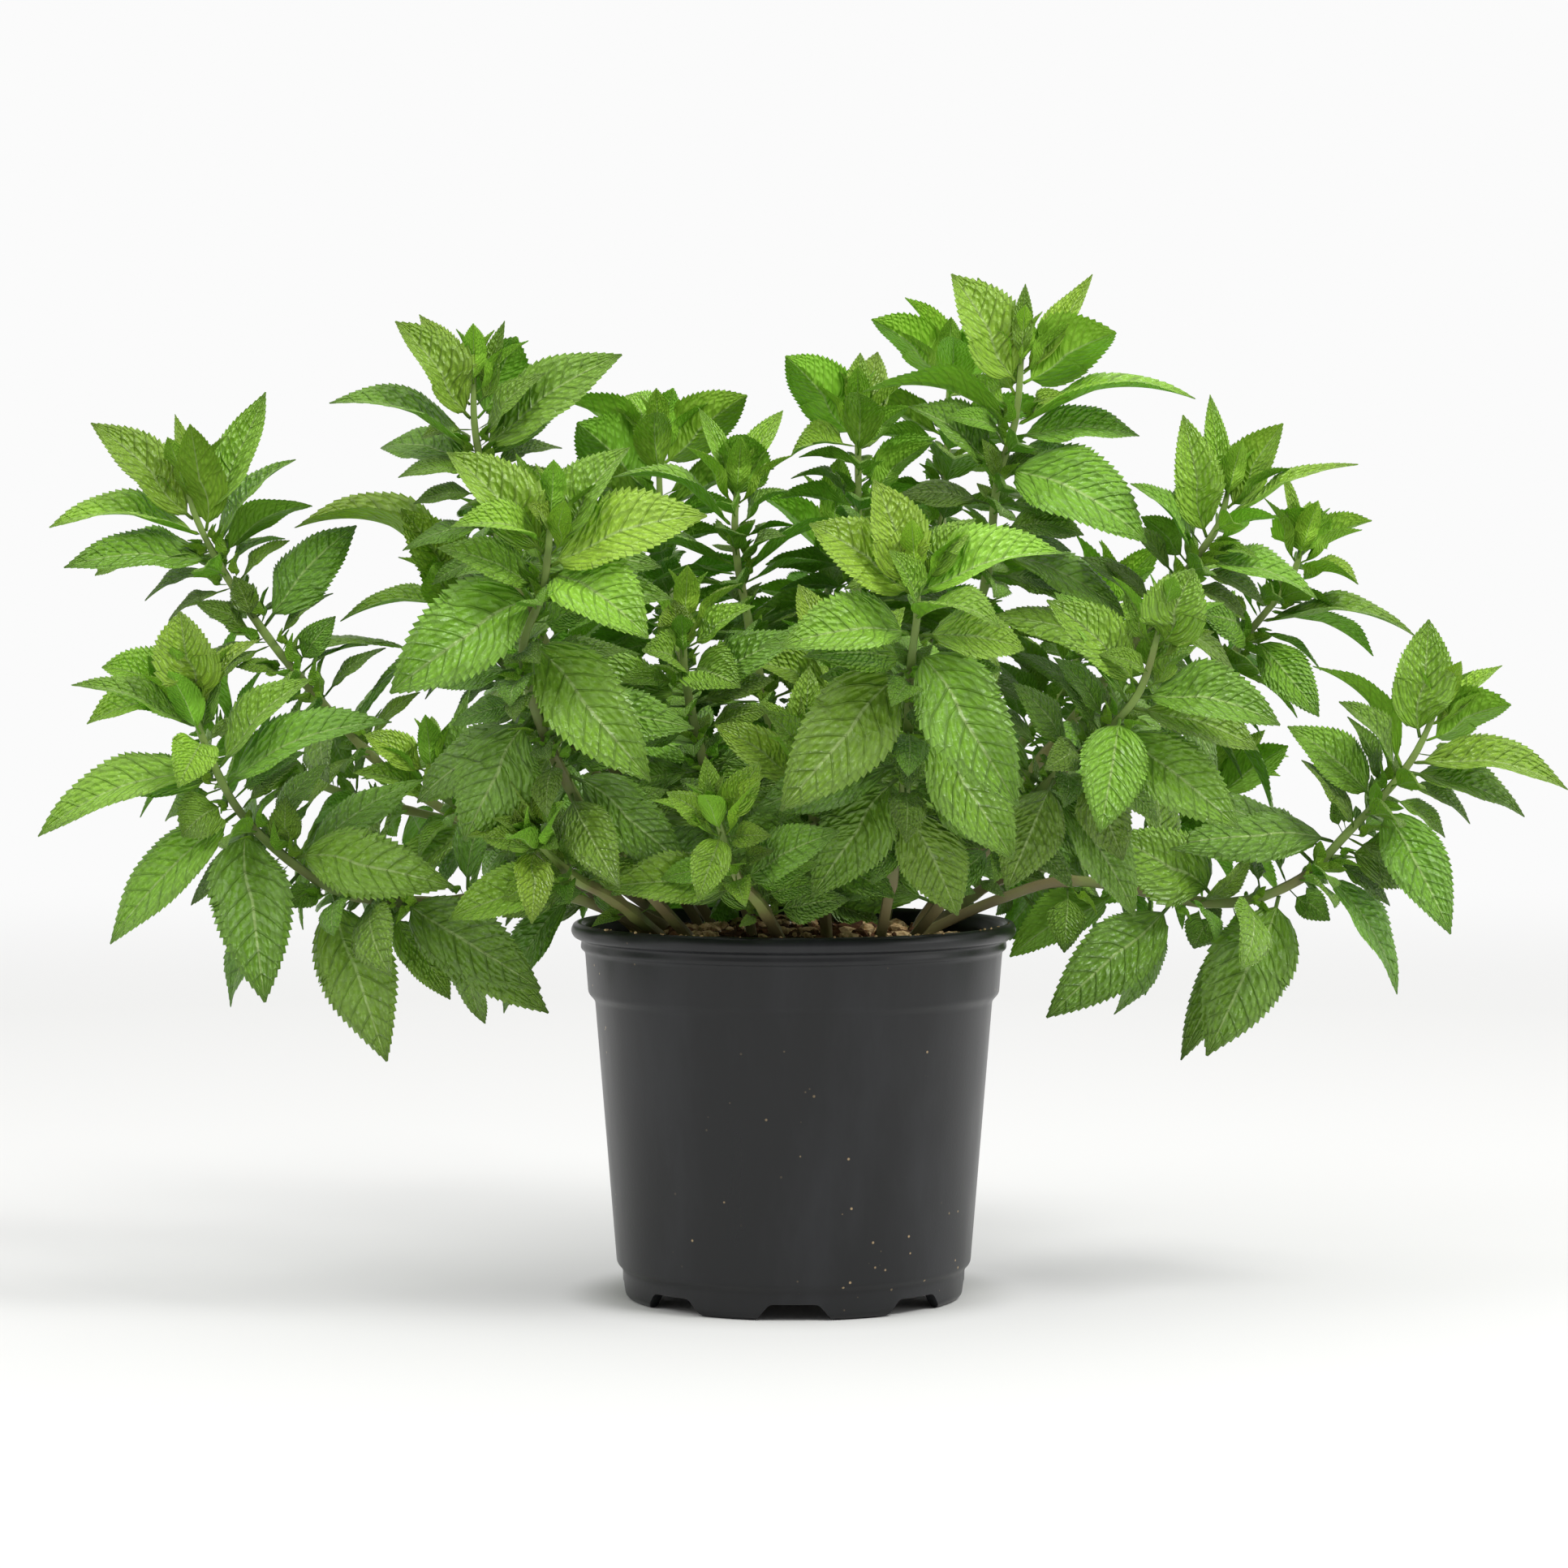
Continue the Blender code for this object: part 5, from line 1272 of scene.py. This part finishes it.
@dataclass
class LeafPiece:
    """One mesh of leaves, which stands for the frame's nodes that hold them."""

    PATTERNS = {}

    name: str
    nodes: list[str]
    blades: list[Blade] = field(default_factory=list)

    @classmethod
    def pattern_for(cls, blade: Blade) -> BladePattern:
        """The flat leaf that suits a blade's length."""
        length = blade.length / MM
        detail = (
            Detail.LARGE if length > 40 else Detail.MIDDLE if length > 24 else Detail.SMALL if length > 13
            else Detail.BUD
        )
        if detail not in cls.PATTERNS:
            cls.PATTERNS[detail] = BladePattern(detail)
        return cls.PATTERNS[detail]

    def build(self, finishes: list[bpy.types.Material]) -> bpy.types.Object:
        """Makes the mesh object.

        Args:
            finishes: the materials of the upper and the under side.

        Returns:
            The object, at the origin.
        """
        edit = bmesh.new()
        places, marks, kinds, maps = [], [], [], []
        cells = 2 * len(self.blades)
        columns = math.ceil(math.sqrt(2 * cells))
        rows = math.ceil(cells / columns)
        for i, blade in enumerate(self.blades):
            pattern = self.pattern_for(blade)
            seed = hash((round(blade.tip.x * 1e4), round(blade.tip.y * 1e4), round(blade.tip.z * 1e4)))
            form = LeafForm.drawn(blade, random.Random(seed))
            edit.from_mesh(pattern.mesh)
            place, mark = form.surface(blade, pattern)
            places.append(place)
            marks.append(mark)
            kinds.append(np.tile((form.age, form.tone, form.warmth), (len(place), 1)))
            cell = 2 * i + pattern.under_loops
            across = pattern.across[pattern.loop_verts]
            along = pattern.along[pattern.loop_verts]
            spot_x = (cell % columns + 0.5 + 0.45 * across) / columns
            spot_y = (cell // columns + 0.05 + 0.9 * np.where(along < 0, 0.06 * (1 + along),
            0.06 + 0.94 * along)) / rows
            maps.append(np.stack([spot_x, spot_y], axis=1))
        mesh = bpy.data.meshes.new(self.name)
        edit.to_mesh(mesh)
        edit.free()
        mesh.vertices.foreach_set("co", np.concatenate(places).astype(np.float32).ravel())
        for name, values in (("leaf_place", marks), ("leaf_kind", kinds)):
            attribute = mesh.attributes.new(name, "FLOAT_VECTOR", "POINT")
            attribute.data.foreach_set("vector", np.concatenate(values).astype(np.float32).ravel())
        atlas = mesh.uv_layers.new(name="OFBake")
        atlas.data.foreach_set("uv", np.concatenate(maps).astype(np.float32).ravel())
        for finish in finishes:
            mesh.materials.append(finish)
        mesh.update()
        smooth_shade(mesh, 70)
        obj = link_object(self.name, mesh)
        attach(obj, "root")
        if self.nodes:
            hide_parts(*self.nodes)
        return obj


# ---------------------------------------------------------------- the stems


@dataclass
class StemPiece:
    """All stems as square rods with rounded corners, a swelling at each joint, and a closed tip."""

    SIDES = 16
    SQUARENESS = 4.5  # power of the rounded square
    STEP = 4.0  # millimetres between rings
    SWELL = 0.22
    SWELL_REACH = 2.6

    stems: Iterable[Stem]
    name: str = "mint_stems"

    def add_rod(self, edit: bmesh.types.BMesh, stem: Stem) -> list[float]:
        """Adds one stem's rod to the mesh.

        Args:
            edit: the mesh.
            stem: the stem's line.

        Returns:
            How old the stem is at each new vertex, 0 at the tip and 1 at the soil.
        """
        rings = max(4, math.ceil(stem.length / (self.STEP * MM)))
        made = bmesh.ops.create_grid(edit, x_segments=self.SIDES, y_segments=rings, size=0.5)["verts"]
        ages = []
        for vert in made:
            share = vert.co.y + 0.5
            angle = (vert.co.x + 0.5) * 2 * math.pi
            s = stem.length * (1 - share)
            point, up, ways = stem.ways(s)
            round_off = (abs(math.cos(angle)) ** self.SQUARENESS + abs(math.sin(angle)) ** self.SQUARENESS)
            radius = stem.half(s) * round_off ** (-1 / self.SQUARENESS)
            for joint in stem.joints:
                radius *= 1 + self.SWELL * math.exp(-(((s - joint) / (self.SWELL_REACH * MM)) ** 2))
            if share < 1e-6:
                point = point - UP * 2 * MM
            vert.co = point + (ways[0] * math.cos(angle) + ways[1] * math.sin(angle)) * radius
            ages.append(1 - share)
        return ages

    def build(self, finish: bpy.types.Material) -> bpy.types.Object:
        """Makes the mesh object of all stems."""
        parts = []
        for stem in self.stems:
            edit = bmesh.new()
            layer = edit.verts.layers.float.new("stem_age")
            ages = self.add_rod(edit, stem)
            for vert, age in zip(edit.verts, ages):
                vert[layer] = age
            bmesh.ops.remove_doubles(edit, verts=edit.verts[:], dist=1e-6)
            bmesh.ops.holes_fill(
                edit, edges=[edge for edge in edit.edges if edge.is_boundary], sides=self.SIDES + 2
            )
            bmesh.ops.recalc_face_normals(edit, faces=edit.faces[:])
            part = bpy.data.meshes.new("rod")
            edit.to_mesh(part)
            edit.free()
            parts.append(part)
        whole = bmesh.new()
        for part in parts:
            whole.from_mesh(part)
            bpy.data.meshes.remove(part)
        mesh = bpy.data.meshes.new(self.name)
        whole.to_mesh(mesh)
        whole.free()
        mesh.materials.append(finish)
        smooth_shade(mesh, 55)
        obj = link_object(self.name, mesh)
        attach(obj, "root")
        return obj


# ---------------------------------------------------------------- the pot


def rounded(corners: Iterable[tuple[float, float]], radius: float, steps: int = 3) -> list[
    tuple[float, float]
]:
    """Rounds an open outline's corners.

    Args:
        corners: the outline's points.
        radius: how far from a corner its round begins, limited by the sides' lengths.
        steps: how many pieces a round has.

    Returns:
        The rounded outline.
    """
    points = [Vector(corner) for corner in corners]
    line = [points[0]]
    for before, corner, after in zip(points, points[1:], points[2:]):
        back, ahead = before - corner, after - corner
        back = back.normalized() * min(radius, 0.45 * back.length)
        ahead = ahead.normalized() * min(radius, 0.45 * ahead.length)
        for i in range(steps + 1):
            t = i / steps
            line.append(corner + back * (1 - t) ** 2 + ahead * t ** 2)
    line.append(points[-1])
    return [(point.x, point.y) for point in line]


def turned(edit: bmesh.types.BMesh, outline: Iterable[tuple[float, float]], steps: int) -> None:
    """Turns an outline of (radius, height) in millimetres round the Z axis into a closed skin."""
    verts = [edit.verts.new((radius * MM, 0, height * MM)) for radius, height in outline]
    edges = [edit.edges.new(pair) for pair in zip(verts, verts[1:])]
    bmesh.ops.spin(
        edit, geom=verts + edges, cent=(0, 0, 0), axis=(0, 0, 1), angle=2 * math.pi, steps=steps,
        use_merge=True,
    )
    bmesh.ops.remove_doubles(edit, verts=edit.verts[:], dist=1e-6)
    bmesh.ops.recalc_face_normals(edit, faces=edit.faces[:])


@dataclass
class Pot:
    """The round nursery pot: a tapered wall, a straight collar, a rolled lip and a notched, drained foot."""

    profile: tuple[tuple[float, float], ...] = (
        (0.0, 11.2), (62.0, 11.2), (64.2, 14.6), (72.0, 110.2), (74.5, 112.6), (76.2, 134.0), (77.6, 138.0),
        (79.8, 139.2), (81.7, 138.6), (82.7, 136.0), (81.6, 133.6), (78.6, 132.6), (79.1, 129.4),
        (77.4, 128.2),
        (76.2, 112.8), (73.7, 110.0), (65.8, 12.6), (63.6, 10.2), (63.3, 1.8), (61.8, 0.0), (58.6, 0.0),
        (58.6, 9.0),
        (0.0, 9.0),
    )
    steps: int = 160
    round_off: float = 1.1
    notches: int = 8
    notch_height: float = 6.0
    notch_top: float = 18.0
    notch_foot: float = 28.0
    drain_radius: float = 4.5
    drain_circle: float = 42.0
    foot_radius: float = 62.0

    def cutter(self) -> bpy.types.Object:
        """Makes the helper that cuts the foot's notches and the floor's drains."""
        edit = bmesh.new()
        for i in range(self.notches):
            turn = Matrix.Rotation(2 * math.pi * i / self.notches, 4, "Z")
            notch = bmesh.ops.create_cube(edit, size=1.0)["verts"]
            flare = self.notch_foot * (1 + 2.0 / self.notch_height * (1 - self.notch_top / self.notch_foot))
            for corner in notch:
                top = corner.co.z > 0
                width = self.notch_top if top else flare
                height = self.notch_height if top else -2.0
                corner.co = Vector((corner.co.x * width, corner.co.y * 20.0 - self.foot_radius, height)) * MM
            edges = {e for v in notch for e in v.link_edges if all(abs(c.co.z) > 4 * MM for c in e.verts)}
            bmesh.ops.transform(edit, matrix=turn, verts=notch)
            bmesh.ops.bevel(
                edit, geom=[e for e in edges if abs(e.verts[0].co.z - e.verts[1].co.z) < MM], offset=1.5 * MM,
                segments=3, profile=0.5, affect="EDGES", material=-1,
            )
            bmesh.ops.create_cone(
                edit, cap_ends=True, segments=32, radius1=self.drain_radius * MM,
                radius2=self.drain_radius * MM,
                depth=8 * MM, matrix=turn @ Matrix.Translation((0, -self.drain_circle * MM, 10 * MM)),
            )
        mesh = bpy.data.meshes.new("foot_cutter")
        edit.to_mesh(mesh)
        edit.free()
        return link_object("foot_cutter", mesh)

    def build(self, finish: bpy.types.Material) -> bpy.types.Object:
        """Makes the pot's object, with its cuts applied."""
        edit = bmesh.new()
        turned(edit, rounded(self.profile, self.round_off), self.steps)
        mesh = bpy.data.meshes.new("pot_shell")
        edit.to_mesh(mesh)
        edit.free()
        blank = link_object("pot_blank", mesh)
        cutter = self.cutter()
        cut = blank.modifiers.new("foot", "BOOLEAN")
        cut.object, cut.operation, cut.solver = cutter, "DIFFERENCE", "EXACT"
        bpy.context.view_layer.update()
        whole = bpy.data.meshes.new_from_object(blank.evaluated_get(bpy.context.evaluated_depsgraph_get()))
        for helper in (blank, cutter):
            bpy.data.objects.remove(helper)
        whole.name = "nursery_pot"
        whole.materials.clear()
        whole.materials.append(finish)
        smooth_shade(whole, 38)
        obj = link_object("nursery_pot", whole)
        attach(obj, "root")
        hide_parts("pot")
        return obj


# ---------------------------------------------------------------- the soil


@dataclass
class Soil:
    """The potting mix: a lumpy mound in the pot, with crumbs of bark and grains of perlite lying on it."""

    side: tuple[tuple[float, float], ...] = (
        (75.2, 126.0), (74.0, 112.4), (71.6, 110.0), (63.8, 14.8), (61.6, 11.6), (0.0, 11.6),
    )
    rings: int = 34
    steps: int = 120
    crumbs: int = 520
    perlite: int = 90
    on_lip: int = 46

    @staticmethod
    def top(x: float, y: float) -> float:
        """Height of the lumpy surface in millimetres at x and y."""
        spot = Vector((x, y, 0)) * 0.16
        rough = noise.noise(spot) + 0.5 * noise.noise(spot * 2.7) + 0.3 * noise.noise(spot * 6.1)
        return soil_height(x, y) + rough * 1.3 - 0.6

    def mound(self, finish: bpy.types.Material) -> bpy.types.Object:
        """Makes the body of the soil."""
        edit = bmesh.new()
        top = [(74.6 * i / self.rings, 0.0) for i in range(self.rings + 1)]
        profile = [(radius, SOIL_EDGE + SOIL_RISE) for radius, _ in top] + list(self.side)
        turned(edit, profile, self.steps)
        for vert in edit.verts:
            if vert.co.z > (SOIL_EDGE + SOIL_RISE - 0.01) * MM:
                vert.co.z = self.top(vert.co.x / MM, vert.co.y / MM) * MM
        mesh = bpy.data.meshes.new("soil_mound")
        edit.to_mesh(mesh)
        edit.free()
        mesh.materials.append(finish)
        smooth_shade(mesh, 60)
        obj = link_object("soil_mound", mesh)
        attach(obj, "root")
        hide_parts("potting_soil")
        return obj

    def scatter(
        self, name: str, finish: bpy.types.Material, count: int, sizes: tuple[float, float], flat: float,
        seed: int, ring: Optional[tuple[float, float, float]] = None,
    ) -> bpy.types.Object:
        """Scatters broken grains.

        Args:
            name: the piece's name.
            finish: its material.
            count: how many grains.
            sizes: the least and the largest radius in millimetres.
            flat: how high a grain is against its width.
            seed: the start of the chance draws.
            ring: the inner and outer radius and the height in millimetres, for grains on the lip.

        Returns:
            The piece.
        """
        draw = random.Random(seed)
        edit = bmesh.new()
        for _ in range(count):
            angle = draw.uniform(0, 2 * math.pi)
            if ring:
                angle = draw.choice((draw.gauss(-2.0, 0.35), draw.gauss(-0.9, 0.3), angle))
                reach = draw.uniform(ring[0], ring[1])
                height = ring[2]
            else:
                reach = 73.0 * math.sqrt(draw.random())
                height = 0.0
            x, y = reach * math.cos(angle), reach * math.sin(angle)
            size = sizes[0] + (sizes[1] - sizes[0]) * draw.random() ** 2.2
            height = height or self.top(x, y) + 0.25 * size
            made = bmesh.ops.create_icosphere(edit, subdivisions=1, radius=1.0)["verts"]
            scale = Vector((size * draw.uniform(0.6, 1.5), size * draw.uniform(0.5, 1.1), size * flat))
            turn = Matrix.Rotation(draw.uniform(0, 6.28), 4, "Z") @ Matrix.Rotation(
                draw.uniform(-0.5, 0.5), 4, "X"
            )
            for vert in made:
                spot = vert.co * draw.uniform(0.72, 1.2)
                spot = turn @ Vector((spot.x * scale.x, spot.y * scale.y, spot.z * scale.z))
                vert.co = (spot + Vector((x, y, height))) * MM
        mesh = bpy.data.meshes.new(name)
        edit.to_mesh(mesh)
        edit.free()
        mesh.materials.append(finish)
        obj = link_object(name, mesh)
        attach(obj, "root")
        return obj


# ---------------------------------------------------------------- the whole plant


@dataclass
class MintPlant:
    """The stems with all their leaves."""

    growth: Growth
    pieces: list[LeafPiece] = field(default_factory=list)

    def match_nodes(self) -> dict[int, str]:
        """Finds which leaf each separate leaf node of the frame is.

        Returns:
            Node names by the leaf's number in the growth.
        """
        found = {}
        for name in sorted(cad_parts):
            if not name.startswith("leaf_"):
                continue
            low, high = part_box(name)
            middle = (low + high) / 2
            best, off = 0, 1.0
            for i, (_, blade) in enumerate(self.growth.leaves):
                points = [blade.root, blade.tip] + [
                    p for t, share in blade.stations() for p in blade.ring(t, share, 0)
                ]
                own_low = Vector([min(p[k] for p in points) for k in range(3)])
                own_high = Vector([max(p[k] for p in points) for k in range(3)])
                miss = ((own_low + own_high) / 2 - middle).length
                if miss < off:
                    best, off = i, miss
            found[best] = name
            if off > 1.5 * MM:
                LOG.warning("%s is %.1f mm from the nearest leaf", name, off / MM)
        return found

    def lay_out(self) -> None:
        """Grows everything and sorts the leaves into pieces."""
        growth = self.growth
        growth.fill()
        in_frame = len(growth.leaves)
        names = self.match_nodes()
        growth.thicken()
        LOG.info("%d leaves as in the frame, %d smaller ones", in_frame, len(growth.leaves) - in_frame)
        draw = random.Random(SEED)
        crowns = {n: LeafPiece(f"mint_crown_{n:02d}", [f"stem_{n:02d}"]) for n in growth.stems}
        lowers = {n: LeafPiece(f"mint_leaves_{n:02d}", [f"stem_{n:02d}"]) for n in growth.stems}
        singles = []
        for i, (stem, blade) in enumerate(growth.leaves):
            if i in names:
                singles.append(LeafPiece(f"mint_{names[i]}", [names[i]], [blade]))
            else:
                (crowns if blade.joint < 26 * MM else lowers)[stem.number].blades.append(blade)
            if blade.joint > 24 * MM and draw.random() < 0.5:
                lowers[stem.number].blades.extend(growth.axil(stem, blade, draw))
        for n, stem in growth.stems.items():
            crowns[n].blades.extend(growth.bud(stem))
        self.pieces = [p for p in (*crowns.values(), *lowers.values(), *singles) if p.blades]

    def build(self) -> None:
        """Makes the stems' piece and all leaf pieces."""
        stems = StemPiece(self.growth.stems.values()).build(StemFinish().build())
        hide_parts(*[f"stem_{n:02d}" for n in self.growth.stems])
        LOG.info("%s: %d faces", stems.name, len(stems.data.polygons))
        finishes = [UPPER_SIDE.build(), UNDER_SIDE.build()]
        faces = 0
        for piece in self.pieces:
            obj = piece.build(finishes)
            faces += len(obj.data.polygons)
            LOG.info("%s: %d leaves, %d faces", obj.name, len(piece.blades), len(obj.data.polygons))
        LOG.info("leaves have %d faces in all", faces)


# ---------------------------------------------------------------- floor, light and camera


@dataclass
class Studio:
    """A pale floor that runs out to a white surround and glows a little as painted light on its shadows, soft
    light from above, and the camera.
    """

    surround: str = "#fbfbfb"
    floor: str = "#dadad8"
    # share of painted light: a glow mixed into the floor that lightens the shadows on it
    shadow_lifting_glow: float = 0.36
    floor_fades: tuple[float, float] = (0.4, 2.4)
    camera_place: tuple[float, float, float] = (-0.0036, -1.6, 0.258)
    camera_dip: float = 2.437
    lens: float = 99.2

    def add_floor(self) -> None:
        """Makes the floor: a wide disc whose finish fades into the surround with distance, and that glows a
        little past the pot's foot as painted light, which lightens the shadows cast on it.
        """
        edit = bmesh.new()
        bmesh.ops.create_circle(edit, cap_ends=True, segments=96, radius=14.0)
        mesh = bpy.data.meshes.new("floor")
        edit.to_mesh(mesh)
        edit.free()
        material, tree = new_material("matt_paper_floor")
        coordinates = add_node(tree, "ShaderNodeTexCoord", {}, {})
        distance = add_node(
            tree, "ShaderNodeVectorMath", {"operation": "LENGTH"}, {0: coordinates.outputs["Object"]},
        )
        # painted light: past the pot's foot the floor glows to lighten its shadows; the glow fades out towards
        # the foot so the contact shade there stays dark
        near = add_node(
            tree, "ShaderNodeMapRange", {"interpolation_type": "SMOOTHSTEP"},
            {0: distance.outputs["Value"], 1: 0.062, 2: 0.09, 3: 0.0, 4: self.shadow_lifting_glow},
        )
        far = add_node(
            tree, "ShaderNodeMapRange", {"interpolation_type": "SMOOTHSTEP"},
            {0: distance.outputs["Value"], 1: self.floor_fades[0], 2: self.floor_fades[1]},
        )
        far = add_node(
            tree, "ShaderNodeMath", {"operation": "MAXIMUM"}, {0: near.outputs[0], 1: far.outputs[0]}
        )
        paper = add_node(
            tree, "ShaderNodeBsdfPrincipled", {},
            {"Base Color": linear(self.floor), "Roughness": 0.9, "Specular IOR Level": 0.1},
        )
        away = add_node(tree, "ShaderNodeEmission", {}, {"Color": linear(self.surround), "Strength": 1.0})
        mixed = add_node(
            tree, "ShaderNodeMixShader", {}, {0: far.outputs[0], 1: paper.outputs[0], 2: away.outputs[0]}
        )
        add_node(tree, "ShaderNodeOutputMaterial", {}, {"Surface": mixed.outputs[0]})
        mesh.materials.append(material)
        floor = link_object("floor", mesh)

    def add_surround(self) -> None:
        """Lights the scene from a white studio: bright at the back and overhead, dimmer in front."""
        world = bpy.data.worlds.new("studio")
        bpy.context.scene.world = world
        world.use_nodes = True
        tree = world.node_tree
        tree.nodes.clear()
        coordinates = add_node(tree, "ShaderNodeTexCoord", {}, {})
        direction = add_node(tree, "ShaderNodeSeparateXYZ", {}, {0: coordinates.outputs["Generated"]})
        up = direction.outputs["Z"]
        dim = add_node(
            tree, "ShaderNodeMapRange", {"interpolation_type": "SMOOTHSTEP"},
            {0: up, 1: 0.22, 2: 0.5, 3: 1.0, 4: 0.5},
        )
        front = add_node(
            tree, "ShaderNodeMapRange", {"interpolation_type": "SMOOTHSTEP"},
            {0: direction.outputs["Y"], 1: -0.8, 2: -0.35, 3: 0.35, 4: 1.0},
        )
        dim = add_node(
            tree, "ShaderNodeMath", {"operation": "MULTIPLY"}, {0: dim.outputs[0], 1: front.outputs[0]}
        )
        for edge, end, boost in ((-0.75, -0.95, 1.6), (0.7, 0.95, 2.6)):
            aside = add_node(
                tree, "ShaderNodeMapRange", {"interpolation_type": "SMOOTHSTEP"},
                {0: direction.outputs["X"], 1: edge, 2: end, 3: 1.0, 4: boost},
            )
            dim = add_node(
                tree, "ShaderNodeMath", {"operation": "MULTIPLY"}, {0: dim.outputs[0], 1: aside.outputs[0]}
            )
        top = add_node(
            tree, "ShaderNodeMapRange", {"interpolation_type": "SMOOTHSTEP"},
            {0: up, 1: 0.5, 2: 0.95, 3: 0.0, 4: 0.9},
        )
        strength = add_node(
            tree, "ShaderNodeMath", {"operation": "ADD"}, {0: dim.outputs[0], 1: top.outputs[0]}
        )
        shader = add_node(
            tree, "ShaderNodeBackground", {},
            {"Color": linear(self.surround), "Strength": strength.outputs[0]},
        )
        add_node(tree, "ShaderNodeOutputWorld", {}, {"Surface": shader.outputs[0]})

    def add_light(self, name: str, place: tuple[float, float, float], size: float, power: float) -> None:
        """Hangs a square softbox that looks at the plant's middle."""
        data = bpy.data.lights.new(name, "AREA")
        data.shape, data.size, data.energy = "SQUARE", size, power
        light = bpy.data.objects.new(name, data)
        light.location = place
        light.rotation_euler = (Vector((0, 0, 0.2)) - Vector(place)).to_track_quat("-Z", "Y").to_euler()
        bpy.context.scene.collection.objects.link(light)

    def add_camera(self) -> None:
        """Sets the camera in front of the plant, a little above its middle and dipped towards it."""
        data = bpy.data.cameras.new("camera")
        data.lens, data.sensor_width = self.lens, 36.0
        camera = bpy.data.objects.new("camera", data)
        camera.location = self.camera_place
        camera.rotation_euler = (math.radians(90 - self.camera_dip), 0, 0)
        bpy.context.scene.collection.objects.link(camera)
        bpy.context.scene.camera = camera

    def build(self) -> None:
        """Sets up floor, surround, lights and camera."""
        self.add_floor()
        self.add_surround()
        self.add_light("softbox_left", (-1.1, -0.9, 1.6), 1.0, 11.0)
        self.add_light("softbox_right", (1.0, -0.8, 1.7), 0.6, 25.0)
        self.add_camera()
        bpy.context.scene.view_settings.view_transform = "Standard"


def node_tree_of(name: str) -> Tree:
    """A search tree of one of the frame's nodes."""
    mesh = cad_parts[name].data
    return tree_of([v.co.copy() for v in mesh.vertices], [list(face.vertices) for face in mesh.polygons])


def main() -> None:
    """Builds the pot, the soil, the plant and the studio round the frame."""
    logging.basicConfig(level=logging.INFO, format="%(name)s: %(message)s")
    growth = Growth([node_tree_of("pot"), node_tree_of("potting_soil")])
    plant = MintPlant(growth)
    plant.lay_out()
    plant.build()
    pot = Pot().build(PotFinish().build())
    LOG.info("%s: %d faces", pot.name, len(pot.data.polygons))
    soil = Soil()
    peat = GrainFinish("peat_mix", "#2c1d12", "#6b4a2e", 6.0, 0.8).build()
    bark = GrainFinish("bark_crumb", "#8a6a42", "#e2c898", 2.5, 0.5).build()
    white = GrainFinish("perlite_grain", "#c9bfae", "#efe9df", 2.0, 0.4).build()
    made = [
        soil.mound(peat),
        soil.scatter("bark_crumbs", bark, soil.crumbs, (0.8, 4.2), 0.6, 3),
        soil.scatter("peat_crumbs", peat, soil.crumbs, (0.8, 3.4), 0.7, 4),
        soil.scatter("perlite_grains", white, soil.perlite, (0.6, 1.7), 0.85, 5),
        soil.scatter("lip_crumbs", bark, soil.on_lip, (0.3, 0.9), 0.6, 6, (79.2, 81.0, 139.1)),
    ]
    for piece in made:
        LOG.info("%s: %d faces", piece.name, len(piece.data.polygons))
    Studio().build()


if __name__ == "__main__":
    main()
